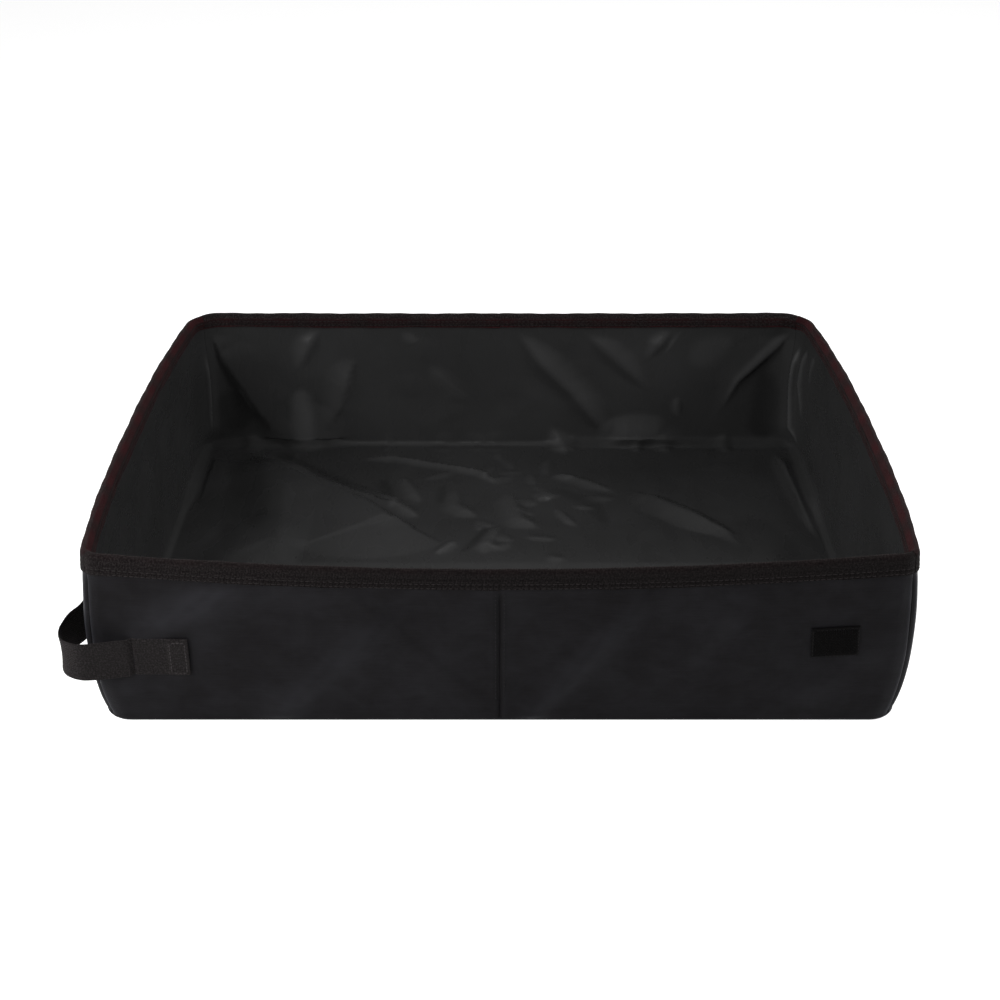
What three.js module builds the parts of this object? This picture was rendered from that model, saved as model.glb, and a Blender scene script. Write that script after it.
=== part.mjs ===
// Foldable litter box: an open tray of woven cloth with boards in its pockets, a glossy lining, a webbing
// binding over the rim and a carry strap at the left front corner. Lengths are millimetres, +X is to the
// right, +Y to the back and +Z up, and the origin is the middle of the bottom. The walls fold in onto the
// floor while the left half folds over the right one, about the strip at the centre.
import * as THREE from "three";

// Overall sizes: the rim outside its binding, corner to corner, and the height of the rim at the corners
const rimLength = 500;
const rimWidth = 400;
const rimHeight = 120;

// Layers, from the outside in
const clothThickness = 0.8;
const wallBoardThickness = 2;
const floorBoardThickness = 3;
const linerThickness = 0.5;
const bindingThickness = 1;
const layerGap = 0.3;

// How far the soft walls stand out of line at the rim, and how far the rim sags between the corners
const frontBow = 9;
const rearBow = 8;
const endBow = 9;
const frontSag = 6;
const rearSag = 3;
const endSag = 3;
const endBulge = 6;
const rearTaper = 4;

// Rounding in plan at the corners, and along the bottom edge
const bottomCornerRadius = 18;
const frontRimRadius = 9;
const rearRimRadius = 20;
const bottomEdgeRadius = 3;

// Binding and boards
const bindingOuterLeg = 13.5;
const bindingInnerLeg = 10;
const bindingCrown = 2.5;
const boardBelowRim = 5;
const boardAboveHinge = 1.5;
const boardEndGap = 0.5;
const mitreGap = 3;

// Fold lines
const hingeSetback = 0.2;
const hingeLift = 0.1;

// Strap and hook patch, with their heights over the ground and their distances from the corner
const strapWidth = 26;
const strapThickness = 1.2;
const strapFrontHeight = 49.5;
const strapCornerHeight = 51.5;
const strapEndHeight = 50;
const strapTipFromCorner = 60;
const strapLiftFromCorner = 28;
const strapReturnFromCorner = 72;
const strapBackFromCorner = 92;
const strapSideStandoff = 15;
const strapFrontStandoff = 12;
const patchLength = 29.5;
const patchWidth = 21;
const patchThickness = 1.5;
const patchHeight = 60;
const patchFromCorner = 46;
const patchTilt = THREE.MathUtils.degToRad(3);

// Folds of the loose lining
const ridgeWidth = 24;
const ridgeRise = 5;

// Shares of the sizes that they follow, chosen by eye
const longPowerShare = 2;
const endPowerShare = 2.6;
const bulgePeakShare = 0.7;
const longColumnShares = [0, 0.18, 0.36, 0.54, 0.7, 0.85, 1];
const endColumnShares = [-1, -0.8, -0.6, -0.4, -0.2, 0, 0.2, 0.4, 0.6, 0.8, 1];
const cornerTurnShares = [0.35, 0.7, 1];
const edgeTurnShares = [0.35, 0.7, 0.9];
const clothRowShares = [0, 0.05, 0.2, 0.38, 0.56, 0.78, 1];
const boardRowShares = [0.36, 0.68];
const crownTurnShares = [1, 0.75, 0.5, 0.25, 0];
const cornerMiddleShare = 0.61;
const linerLongShares = [0.001, 0.08, 0.16, 0.24, 0.32, 0.4, 0.48, 0.56, 0.64, 0.72, 0.8, 0.9, 1];
const linerRowShares = [0, 0.08, 0.2, 0.35, 0.5, 0.68, 0.82, 0.92, 1];

// Ridges of the lining as shares: from and to along the wall and up it, or along and across the floor, then
// width and height
const rearRightRidgeShares = [
  [0.08, 0.8, 0.35, 0.23, 0.92, 0.8],
  [0.5, 0.15, 0.7, -0.06, 0.67, 1],
  [0.21, 0.1, 0.34, -0.06, 0.6, 1.2],
  [0.95, 0.82, 0.72, 0.14, 0.83, 0.8],
];
const rearLeftRidgeShares = [
  [0.66, 0.31, 0.66, -0.04, 0.6, 1.4],
  [0.51, 0.56, 0.61, 0.1, 0.67, 0.8],
  [0.62, 0.84, 0.68, 0.52, 0.75, 0.6],
  [0.93, 0.86, 0.76, 0.07, 0.75, 1],
];
const endRidgeShares = [
  [-0.2, 0.74, -0.45, 0.17, 1.25, 0.8],
  [0.75, 0.65, 0.55, 0.13, 1.1, 1],
];
const frontRidgeShares = [[0.32, 0.68, 0.48, 0.18, 1.1, 0.6]];
const floorRightRidgeShares = [
  [0.29, 0.55, 0.73, 0.08, 0.92, 0.8],
  [0.11, 0.68, 0.22, 0.87, 0.75, 0.8],
  [0.36, -0.3, 0.76, -0.6, 1.1, 0.6],
];
const floorLeftRidgeShares = [
  [0.48, 0.87, 0.23, 0.8, 0.83, 0.8],
  [0.23, 0.8, 0.03, 0.64, 0.83, 0.8],
  [0.69, 0.77, 0.25, 0.29, 1, 0.6],
  [0.19, -0.04, 0.12, 0.12, 0.75, 0.8],
];

// Steps of the curved sheets
const edgeSteps = 4;
const floorColumnSteps = 11;
const floorRowSteps = 12;
const strapSteps = 30;

// Derived sizes
const wallStack = clothThickness + layerGap + wallBoardThickness + layerGap + linerThickness;
const floorStack = clothThickness + layerGap + floorBoardThickness + layerGap + linerThickness;
const halfLength = rimLength / 2 - bindingThickness - layerGap;
const halfWidth = rimWidth / 2 - bindingThickness - layerGap;
const boardDepth = clothThickness + layerGap;
const linerDepth = boardDepth + wallBoardThickness + layerGap;
const endHingeX = halfLength - wallStack - hingeSetback;
const endHingeZ = floorStack + hingeLift;
const longHingeY = halfWidth - wallStack - hingeSetback;
const endBowFolded = endBow * (1 - (1 - rimHeight / halfWidth) ** endPowerShare);
const longBowFolded = frontBow * (1 - (1 - rimHeight / halfLength) ** longPowerShare);
const longHingeZ = endHingeZ + wallStack + endBowFolded - longBowFolded + layerGap;
const bowAtMitre = frontBow * (1 - (rimHeight / halfLength) ** longPowerShare);
const centreFoldZ = longHingeZ + hingeSetback + wallStack + bowAtMitre;
const foldHalf = centreFoldZ;
const cornerHalfTurn = Math.PI / 4;

// Materials
function material(color, roughness) {
  return new THREE.MeshStandardMaterial({ color, roughness, metalness: 0 });
}
const clothMaterial = material(0x262628, 0.85);
const boardMaterial = material(0x8c8c88, 0.7);
const linerMaterial = material(0x2b2b2d, 0.35);
const bindingMaterial = material(0x1e1b1b, 0.95);
const strapMaterial = material(0x232122, 0.9);
const patchMaterial = material(0x0c0a0b, 1);

// A closed sheet: an outer and an inner skin with the same triangles, joined along their free edges
function thickSheet(outer, inner, triangles) {
  const count = outer.length;
  const faces = [];
  const freeEdges = new Map();
  for (const [a, b, c] of triangles) {
    faces.push([a, b, c], [a + count, c + count, b + count]);
    for (const [p, q] of [[a, b], [b, c], [c, a]]) {
      if (!freeEdges.delete(`${q} ${p}`)) freeEdges.set(`${p} ${q}`, [p, q]);
    }
  }
  for (const [p, q] of freeEdges.values()) {
    faces.push([q, p, p + count], [q, p + count, q + count]);
  }
  const points = [...outer, ...inner];
  const volume = faces.reduce((sum, [a, b, c]) => {
    return sum + points[a].dot(new THREE.Vector3().crossVectors(points[b], points[c]));
  }, 0);
  const outward = volume > 0 ? faces : faces.map(([a, b, c]) => [a, c, b]);
  const geometry = new THREE.BufferGeometry();
  geometry.setAttribute("position", new THREE.Float32BufferAttribute(points.flatMap((p) => p.toArray()), 3));
  geometry.setIndex(outward.flat());
  geometry.computeVertexNormals();
  return geometry;
}

// Triangles of a grid of columns and rows
function gridTriangles(columns, rows) {
  const triangles = [];
  for (let i = 0; i + 1 < columns; i += 1) {
    for (let j = 0; j + 1 < rows; j += 1) {
      const a = i * rows + j;
      const b = a + rows;
      triangles.push([a, b, b + 1], [a, b + 1, a + 1]);
    }
  }
  return triangles;
}

// A sheet whose outer and inner skin come from a function of column, row and skin
function gridSheet(columns, rows, place) {
  const skin = (inside) => columns.flatMap((column) => rows.map((row) => place(column, row, inside)));
  return thickSheet(skin(false), skin(true), gridTriangles(columns.length, rows.length));
}

// The walls of the right half, seen from above; the left half is their mirror image
const frontWall = { long: true, side: -1, bow: frontBow, sag: frontSag, power: longPowerShare };
const rearWall = { long: true, side: 1, bow: rearBow, sag: rearSag, power: longPowerShare };
const endWall = { long: false, bow: endBow, sag: endSag, power: endPowerShare };

function hingeHeight(wall) {
  return wall.long ? longHingeZ : endHingeZ;
}

// A column stands at a share of the wall's straight length, or at 1 or -1 and turned into the corner
function rimTop(wall, column) {
  return rimHeight - wall.sag * (1 - Math.min(1, Math.abs(column.at)) ** 2);
}

function riseOf(wall, column, z) {
  return (z - hingeHeight(wall)) / (rimTop(wall, column) - hingeHeight(wall));
}

function cornerRadius(front, rise) {
  const rim = front ? frontRimRadius : rearRimRadius;
  return bottomCornerRadius + (rim - bottomCornerRadius) * Math.max(0, rise);
}

function isFront(wall, along) {
  return wall.long ? wall.side < 0 : along < 0;
}

// How far the bottom edge's rounding draws the cloth in at a height
function edgeInset(z) {
  if (z >= bottomEdgeRadius) return 0;
  return bottomEdgeRadius - Math.sqrt(bottomEdgeRadius ** 2 - (bottomEdgeRadius - z) ** 2);
}

// How far the cloth of the ends stands out at a height
function bulgeAt(z) {
  const level = (z - endHingeZ) / (rimHeight - endHingeZ);
  return endBulge * Math.sin(Math.PI * Math.min(1, Math.max(0, level)) ** bulgePeakShare);
}

// A point of a wall, at a depth under the cloth's face. The cloth bulges, the boards and the lining don't
function wallPoint(wall, column, z, depth, bulges) {
  const rise = riseOf(wall, column, z);
  const radius = cornerRadius(isFront(wall, column.at), rise);
  const sine = Math.sin(column.turn);
  const cosine = Math.cos(column.turn);
  const way = column.at < 0 ? -1 : 1;
  const point = new THREE.Vector3(0, 0, z);
  const normal = new THREE.Vector3();
  if (wall.long) {
    point.x = column.at * (halfLength - radius) + radius * sine;
    point.y = wall.side * (halfWidth - radius + radius * cosine);
    normal.set(sine, wall.side * cosine, 0);
  } else {
    point.x = halfLength - radius + radius * cosine;
    point.y = column.at * (halfWidth - radius) + way * radius * sine;
    normal.set(cosine, way * sine, 0);
  }
  const share = wall.long ? point.x / halfLength : Math.abs(point.y) / halfWidth;
  const bow = wall.bow * (1 - Math.min(1, share) ** wall.power) * Math.max(0, rise);
  point.addScaledVector(normal, bow - depth);
  const taper = rearTaper * Math.max(0, rise) * Math.max(0, point.y / halfWidth) ** 2;
  point.x += ((bulges ? bulgeAt(z) : 0) - taper) * (point.x / halfLength);
  return point;
}

// The column of a wall's straight part that stands a given length from the wall's middle
function columnAt(wall, along, z) {
  const half = wall.long ? halfLength : halfWidth;
  const rise = riseOf(wall, { at: along / half }, z);
  return { at: along / (half - cornerRadius(isFront(wall, along), rise)), turn: 0 };
}

// A point of the front wall's or the end wall's face, at a given x or y
function onFront(x, z, depth) {
  return wallPoint(frontWall, columnAt(frontWall, x / (1 + bulgeAt(z) / halfLength), z), z, depth, true);
}

function onEnd(y, z, depth) {
  return wallPoint(endWall, columnAt(endWall, y, z), z, depth, true);
}

// Half the corner's turn, less half a seam gap at the innermost layer
function seamTurn(front, share) {
  const innermost = Math.min(cornerRadius(front, 1), bottomCornerRadius) - wallStack;
  return (cornerHalfTurn - layerGap / 2 / innermost) * share;
}

// Columns of a wall panel, from the centre seam to the corner's seam or from corner to corner
function panelColumns(wall, straightShares) {
  const seamShare = layerGap / 2 / (halfLength - Math.max(bottomCornerRadius, rearRimRadius));
  const intoCorner = (at, front) => cornerTurnShares.map((share) => ({ at, turn: seamTurn(front, share) }));
  if (wall.long) {
    const straight = straightShares.map((at) => ({ at: Math.max(at, seamShare), turn: 0 }));
    return [...straight, ...intoCorner(1, wall.side < 0)];
  }
  const straight = straightShares.map((at) => ({ at, turn: 0 }));
  return [...intoCorner(-1, true).reverse(), ...straight, ...intoCorner(1, false)];
}

function clothPanel(wall) {
  const bottom = hingeHeight(wall) - hingeSetback;
  const columns = panelColumns(wall, wall.long ? longColumnShares : endColumnShares);
  return gridSheet(columns, clothRowShares, (column, share, inside) => {
    const top = rimTop(wall, column) - bindingCrown;
    const z = bottom + (top - bottom) * share;
    return wallPoint(wall, column, z, edgeInset(z) + (inside ? clothThickness : 0), true);
  });
}

// Height of the lining's highest ridge at a place, given as shares of the two reaches of its wall or floor
function ridgeAt(ridges, along, up, reachAlong, reachUp) {
  return ridges.reduce((highest, [fromAlong, fromUp, toAlong, toUp, widthShare, heightShare]) => {
    const run = new THREE.Vector2((toAlong - fromAlong) * reachAlong, (toUp - fromUp) * reachUp);
    const off = new THREE.Vector2((along - fromAlong) * reachAlong, (up - fromUp) * reachUp);
    const nearest = Math.min(1, Math.max(0, off.dot(run) / run.lengthSq()));
    const distance = off.addScaledVector(run, -nearest).length() / (ridgeWidth * widthShare);
    if (distance >= 1) return highest;
    return Math.max(highest, (ridgeRise * heightShare * (1 + Math.cos(Math.PI * distance))) / 2);
  }, 0);
}

function linerPanel(wall, ridges) {
  const bottom = hingeHeight(wall) + hingeLift;
  const columns = panelColumns(wall, wall.long ? linerLongShares : endColumnShares);
  const reachAlong = wall.long ? halfLength : halfWidth;
  return gridSheet(columns, linerRowShares, (column, share, inside) => {
    const top = rimTop(wall, column) - bindingCrown;
    const z = bottom + (top - bottom) * share;
    const belowBinding = (rimTop(wall, column) - bindingInnerLeg - layerGap - z) / bindingInnerLeg;
    const free = column.turn > 0 ? 0 : Math.min(1, Math.max(0, belowBinding));
    const fold = free * ridgeAt(ridges, column.at, share, reachAlong, top - bottom);
    return wallPoint(wall, column, z, linerDepth + fold + (inside ? linerThickness : 0), false);
  });
}

// A wall board, cut at 45 degrees beside the centre seam or at both ends, so that the walls clear each other
function boardPanel(wall) {
  const hinge = hingeHeight(wall);
  const seamEnd = foldHalf + layerGap;
  const longEnd = halfLength - Math.max(bottomCornerRadius, wall.side < 0 ? 0 : rearRimRadius) - boardEndGap;
  const frontEnd = halfWidth - bottomCornerRadius - boardEndGap;
  const rearEnd = halfWidth - rearRimRadius - boardEndGap;
  const mitreReach = longHingeY - mitreGap;
  const limits = (height) => wall.long
    ? [Math.max(seamEnd, height + mitreGap), longEnd]
    : [-Math.min(frontEnd, mitreReach - height), Math.min(rearEnd, mitreReach - height)];
  const mitreStarts = wall.long ? [seamEnd - mitreGap] : [mitreReach - frontEnd, mitreReach - rearEnd];
  const tall = rimHeight - boardBelowRim - wall.sag - hinge;
  const heights = [boardAboveHinge, ...mitreStarts, ...boardRowShares.map((share) => share * tall), tall];
  const columnShares = wall.long ? longColumnShares : endColumnShares.map((share) => (share + 1) / 2);
  return gridSheet(columnShares, heights, (columnShare, height, inside) => {
    const [from, to] = limits(height);
    const column = columnAt(wall, from + (to - from) * columnShare, hinge + height);
    return wallPoint(wall, column, hinge + height, boardDepth + (inside ? wallBoardThickness : 0), false);
  });
}

// The binding is a tape folded over the rim, with one leg outside and one inside
function bindingPanel(wall) {
  const middle = wallStack / 2;
  const columns = panelColumns(wall, wall.long ? longColumnShares : endColumnShares);
  const rows = ["outer leg", ...crownTurnShares.map((share) => share * Math.PI), "inner leg"];
  return gridSheet(columns, rows, (column, row, inside) => {
    const half = middle + layerGap + (inside ? 0 : bindingThickness);
    const crown = bindingCrown - (inside ? bindingThickness : 0);
    const top = rimTop(wall, column);
    if (row === "outer leg") return wallPoint(wall, column, top - bindingOuterLeg, middle - half, true);
    if (row === "inner leg") return wallPoint(wall, column, top - bindingInnerLeg, middle + half, false);
    const depth = middle + half * Math.cos(row);
    return wallPoint(wall, column, top - bindingCrown + crown * Math.sin(row), depth, depth < clothThickness);
  });
}

// A point of the floor cloth's turned-up edge, from the flat bottom at step 0 to the top, where the wall's
// cloth starts. A low column has the end wall's height on the corner of a long wall
function edgePoint(column, step, inside) {
  const { wall, low } = column;
  const top = (low ? endHingeZ : hingeHeight(wall)) - hingeSetback - layerGap;
  const arcSteps = top > bottomEdgeRadius ? edgeSteps - 1 : edgeSteps;
  const angle = Math.acos(Math.max(0, 1 - top / bottomEdgeRadius)) * Math.min(1, step / arcSteps);
  const radius = bottomEdgeRadius - (inside ? clothThickness : 0);
  const z = step === edgeSteps ? top : bottomEdgeRadius - radius * Math.cos(angle);
  return wallPoint(wall, column, z, bottomEdgeRadius - radius * Math.sin(angle), true);
}

// Bottom cloth of one half: flat, with its edge turned up on three sides and cut off at the fold strip
function floorCloth() {
  const corner = (wall, at, front, shares) => {
    return shares.map((share) => ({ wall, at, turn: seamTurn(front, share) }));
  };
  const longCorner = (wall, front) => [
    ...corner(wall, 1, front, edgeTurnShares),
    { wall, at: 1, turn: seamTurn(front, 1), low: true },
  ];
  const columns = [
    ...[0, 1].map((at) => ({ wall: frontWall, at, turn: 0 })),
    ...longCorner(frontWall, true),
    ...corner(endWall, -1, true, cornerTurnShares).reverse(),
    ...[-1, 0, 1].map((at) => ({ wall: endWall, at, turn: 0 })),
    ...corner(endWall, 1, false, cornerTurnShares),
    ...longCorner(rearWall, false).reverse(),
    ...[1, 0].map((at) => ({ wall: rearWall, at, turn: 0 })),
  ];
  const steps = Array.from({ length: edgeSteps + 1 }, (unused, step) => step);
  const foldEdge = foldHalf + layerGap / 2;
  const skin = (inside) => columns.flatMap((column) => steps.map((step) => {
    const point = edgePoint(column, step, inside);
    return point.setX(Math.max(point.x, foldEdge));
  }));
  const outer = skin(false);
  const triangles = gridTriangles(columns.length, steps.length);
  const bottomRing = columns.map((column, index) => index * steps.length);
  const outline = bottomRing.map((index) => new THREE.Vector2(outer[index].x, outer[index].y));
  for (const [a, b, c] of THREE.ShapeUtils.triangulateShape(outline, [])) {
    triangles.push([bottomRing[a], bottomRing[c], bottomRing[b]]);
  }
  return thickSheet(outer, skin(true), triangles);
}

// The strip of bottom cloth between the two floor boards, which is the hinge of the centre fold
function foldStrip() {
  const steps = Array.from({ length: edgeSteps + 1 }, (unused, step) => step);
  const profile = [
    ...steps.map((step) => ({ wall: frontWall, step })).reverse(),
    ...steps.map((step) => ({ wall: rearWall, step })),
  ];
  const reach = foldHalf - layerGap / 2;
  return gridSheet([-reach, reach], profile, (x, { wall, step }, inside) => {
    return edgePoint({ wall, at: 0, turn: 0 }, step, inside).setX(x);
  });
}

function floorBoard() {
  const reachX = halfLength - bottomEdgeRadius;
  const reachY = halfWidth - bottomEdgeRadius;
  const radius = bottomCornerRadius - bottomEdgeRadius;
  const seamEnd = foldHalf + layerGap;
  const shape = new THREE.Shape();
  shape.moveTo(seamEnd, -reachY);
  shape.lineTo(reachX - radius, -reachY);
  shape.absarc(reachX - radius, radius - reachY, radius, -Math.PI / 2, 0, false);
  shape.absarc(reachX - radius, reachY - radius, radius, 0, Math.PI / 2, false);
  shape.lineTo(seamEnd, reachY);
  shape.closePath();
  const options = { depth: floorBoardThickness, bevelEnabled: false, curveSegments: edgeSteps };
  return new THREE.ExtrudeGeometry(shape, options).translate(0, 0, clothThickness + layerGap);
}

// Lining of the floor: loose film that lies on the board, with a lip up the front and the back
function floorLiner(ridges) {
  const low = floorStack - linerThickness;
  const seam = layerGap / 2;
  const endReach = endHingeX - layerGap;
  const lipReach = halfWidth - linerDepth;
  const cornerRound = bottomCornerRadius - linerDepth;
  const cornerStart = halfLength - bottomCornerRadius;
  const cornerMiddle = cornerStart + cornerRound * cornerMiddleShare;
  const steps = Array.from({ length: floorColumnSteps + 1 }, (unused, step) => step / floorColumnSteps);
  const columns = [...steps.map((share) => seam + (cornerStart - seam) * share), cornerMiddle, endReach];
  const flat = Array.from({ length: floorRowSteps + 1 }, (unused, step) => (2 * step) / floorRowSteps - 1);
  return gridSheet(columns, ["front lip", ...flat, "rear lip"], (x, row, inside) => {
    const skin = inside ? linerThickness : 0;
    const intoCorner = Math.max(0, x - cornerStart);
    const cornerCut = cornerRound - Math.sqrt(cornerRound ** 2 - intoCorner ** 2);
    const reach = lipReach - cornerCut - skin;
    const lipTop = x <= cornerStart ? longHingeZ - layerGap : floorStack + hingeLift / 2;
    if (row === "front lip") return new THREE.Vector3(x, -reach, lipTop);
    if (row === "rear lip") return new THREE.Vector3(x, reach, lipTop);
    const y = row * reach;
    const free = Math.min(1, (lipReach - Math.abs(y)) / ridgeWidth, (endReach - x) / ridgeWidth);
    const fold = Math.max(0, free) * ridgeAt(ridges, x / halfLength, y / halfWidth, halfLength, halfWidth);
    return new THREE.Vector3(x, y, low + skin + fold);
  });
}

// The patch lies slightly askew on the front wall
function hookPatch() {
  const spots = [-0.5, 0, 0.5];
  return gridSheet(spots, spots, (across, up, inside) => {
    const run = across * patchLength;
    const climb = up * patchWidth;
    const x = rimLength / 2 - patchFromCorner + run * Math.cos(patchTilt) - climb * Math.sin(patchTilt);
    const z = patchHeight + run * Math.sin(patchTilt) + climb * Math.cos(patchTilt);
    return onFront(x, z, -layerGap - (inside ? 0 : patchThickness));
  });
}

// The strap lies on the front face, leaves it before the corner, goes round the corner at a distance and
// comes back to the end wall. It is made in the right half's frame and mirrored with the rest of the left
function strapKnots(lift) {
  const seat = -2 * layerGap - strapThickness / 2;
  const cornerX = halfLength + endBulge;
  const sideX = cornerX + strapSideStandoff;
  const frontY = halfWidth + strapFrontStandoff;
  const tipX = rimLength / 2 - strapTipFromCorner;
  const liftX = rimLength / 2 - strapLiftFromCorner;
  const returnY = rimWidth / 2 - strapReturnFromCorner;
  const backY = rimWidth / 2 - strapBackFromCorner;
  const front = strapFrontHeight + lift;
  const corner = strapCornerHeight + lift;
  const back = strapEndHeight + lift;
  return [
    onFront(tipX, front, seat),
    onFront((tipX + liftX) / 2, front, seat),
    onFront(liftX, front, seat),
    new THREE.Vector3(halfLength - strapFrontStandoff, -(frontY + halfWidth) / 2, (front + corner) / 2),
    new THREE.Vector3(cornerX, -frontY, corner),
    new THREE.Vector3(sideX - strapSideStandoff / 4, strapFrontStandoff / 2 - frontY, corner),
    new THREE.Vector3(sideX, strapFrontStandoff / 2 - halfWidth, corner),
    new THREE.Vector3(sideX - strapSideStandoff / 8, 2 * strapFrontStandoff - halfWidth, corner),
    new THREE.Vector3(sideX - strapSideStandoff / 2, -(halfWidth + returnY) / 2, (corner + back) / 2),
    onEnd(-returnY, back, seat),
    onEnd(-backY, back, seat),
  ];
}

function carryStrap() {
  const edgeCurve = (lift) => {
    return new THREE.CatmullRomCurve3(strapKnots(lift), false, "centripetal").getPoints(strapSteps);
  };
  const lower = edgeCurve(-strapWidth / 2);
  const upper = edgeCurve(strapWidth / 2);
  const stations = lower.map((point, index) => index);
  return gridSheet(stations, [lower, upper], (index, edge, inside) => {
    const along = lower[Math.min(strapSteps, index + 1)].clone().sub(lower[Math.max(0, index - 1)]);
    const normal = along.cross(upper[index].clone().sub(lower[index])).normalize();
    return edge[index].clone().addScaledVector(normal, (inside ? -0.5 : 0.5) * strapThickness);
  });
}

// Mirror image in X, with the corners of each triangle swapped so that it still faces out
function mirrored(geometry) {
  const copy = geometry.clone().scale(-1, 1, 1);
  const count = copy.index ? copy.index.count : copy.attributes.position.count;
  const order = Array.from({ length: count }, (unused, corner) => {
    return copy.index ? copy.index.getX(corner) : corner;
  });
  for (let start = 0; start < count; start += 3) {
    [order[start + 1], order[start + 2]] = [order[start + 2], order[start + 1]];
  }
  copy.setIndex(order);
  copy.computeVertexNormals();
  return copy;
}

// One group for each stiff panel, at its fold line
function addPanel(parent, place, pieces) {
  const group = new THREE.Group();
  group.position.copy(place);
  for (const [name, geometry, finish] of pieces) {
    const mesh = new THREE.Mesh(geometry.translate(-place.x, -place.y, -place.z), finish);
    mesh.name = name;
    group.add(mesh);
  }
  parent.add(group);
}

function addHalf(parent, hand, sign, ridges) {
  const turned = (geometry) => (sign > 0 ? geometry : mirrored(geometry));
  addPanel(parent, new THREE.Vector3(0, 0, 0), [
    [`floor_cloth_${hand}`, turned(floorCloth()), clothMaterial],
    [`floor_board_${hand}`, turned(floorBoard()), boardMaterial],
    [`floor_liner_${hand}`, turned(floorLiner(ridges.floor)), linerMaterial],
  ]);
  const walls = [
    ["front", frontWall, ridges.front, new THREE.Vector3(0, -longHingeY, longHingeZ)],
    ["rear", rearWall, ridges.rear, new THREE.Vector3(0, longHingeY, longHingeZ)],
    ["end", endWall, ridges.end, new THREE.Vector3(sign * endHingeX, 0, endHingeZ)],
  ];
  for (const [label, wall, wallRidges, place] of walls) {
    addPanel(parent, place, [
      [`${label}_cloth_${hand}`, turned(clothPanel(wall)), clothMaterial],
      [`${label}_board_${hand}`, turned(boardPanel(wall)), boardMaterial],
      [`${label}_liner_${hand}`, turned(linerPanel(wall, wallRidges)), linerMaterial],
      [`${label}_binding_${hand}`, turned(bindingPanel(wall)), bindingMaterial],
    ]);
  }
}

const litterBox = new THREE.Group();
addHalf(litterBox, "right", 1, {
  floor: floorRightRidgeShares,
  front: frontRidgeShares,
  rear: rearRightRidgeShares,
  end: endRidgeShares,
});
addHalf(litterBox, "left", -1, {
  floor: floorLeftRidgeShares,
  front: frontRidgeShares,
  rear: rearLeftRidgeShares,
  end: endRidgeShares,
});
addPanel(litterBox, new THREE.Vector3(0, 0, 0), [["fold_hinge", foldStrip(), clothMaterial]]);
addPanel(litterBox, new THREE.Vector3(0, -longHingeY, longHingeZ), [
  ["hook_patch", hookPatch(), patchMaterial],
  ["carry_strap", mirrored(carryStrap()), strapMaterial],
]);

export default litterBox;
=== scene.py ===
"""Looks of the foldable litter box: woven cloth outside, a creased glossy lining inside, webbing round the rim.

Lengths are millimetres in the shape code and become metres when a mesh is made.
"""
import math
from types import SimpleNamespace

import bpy
import numpy as np
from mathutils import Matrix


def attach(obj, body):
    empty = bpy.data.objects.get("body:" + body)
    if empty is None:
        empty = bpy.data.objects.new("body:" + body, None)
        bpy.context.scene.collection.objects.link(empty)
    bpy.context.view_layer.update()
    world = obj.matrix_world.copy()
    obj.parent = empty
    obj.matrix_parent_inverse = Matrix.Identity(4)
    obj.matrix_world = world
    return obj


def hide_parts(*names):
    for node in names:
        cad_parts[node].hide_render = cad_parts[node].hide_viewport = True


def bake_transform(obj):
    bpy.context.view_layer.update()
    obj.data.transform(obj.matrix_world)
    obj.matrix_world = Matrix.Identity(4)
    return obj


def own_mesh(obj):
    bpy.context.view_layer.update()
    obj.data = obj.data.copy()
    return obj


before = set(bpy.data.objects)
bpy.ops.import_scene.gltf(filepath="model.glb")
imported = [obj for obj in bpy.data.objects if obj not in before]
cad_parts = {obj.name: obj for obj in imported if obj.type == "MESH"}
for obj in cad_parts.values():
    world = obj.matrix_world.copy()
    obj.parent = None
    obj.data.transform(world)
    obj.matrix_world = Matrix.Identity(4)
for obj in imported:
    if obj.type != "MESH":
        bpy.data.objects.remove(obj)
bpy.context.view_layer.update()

MM = 0.001

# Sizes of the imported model
RIM_HEIGHT = 120.0
HALF_LENGTH = 248.7
HALF_WIDTH = 198.7
BOTTOM_RADIUS = 18.0
FRONT_RADIUS = 9.0
REAR_RADIUS = 20.0
EDGE_RADIUS = 3.0
END_BULGE = 6.0
BULGE_PEAK = 0.7
REAR_TAPER = 4.0
CLOTH = 0.8
LINER = 0.5
STACK = 3.9
FLOOR_TOP = 4.9
TAPE = 1.0
TAPE_GAP = 0.3
OUTER_LEG = 14.0
INNER_LEG = 10.5
OUTER_STITCHES = (12.8, 9.8)
INNER_STITCHES = (8.7, 5.4)
CROWN = 2.5
END_HINGE = 5.0
LONG_HINGE = 10.8
FLAT_X, FLAT_Y = HALF_LENGTH - BOTTOM_RADIUS, HALF_WIDTH - BOTTOM_RADIUS
FOLD_HALF = 21.8
STRAP_WIDTH = 26.0
STRAP_THICK = 1.2
STRAP_DENT = 34.0
PATCH_SIZE = (29.5, 21.0)
PATCH_PLACE = (204.0, 60.0)
PATCH_TILT = math.radians(3)

# Where the bottom cloth ends and a wall's foot begins, and how far a corner turns on each of its two walls
BASE_TOP = 3.0
CORNER = math.pi / 4

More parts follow.
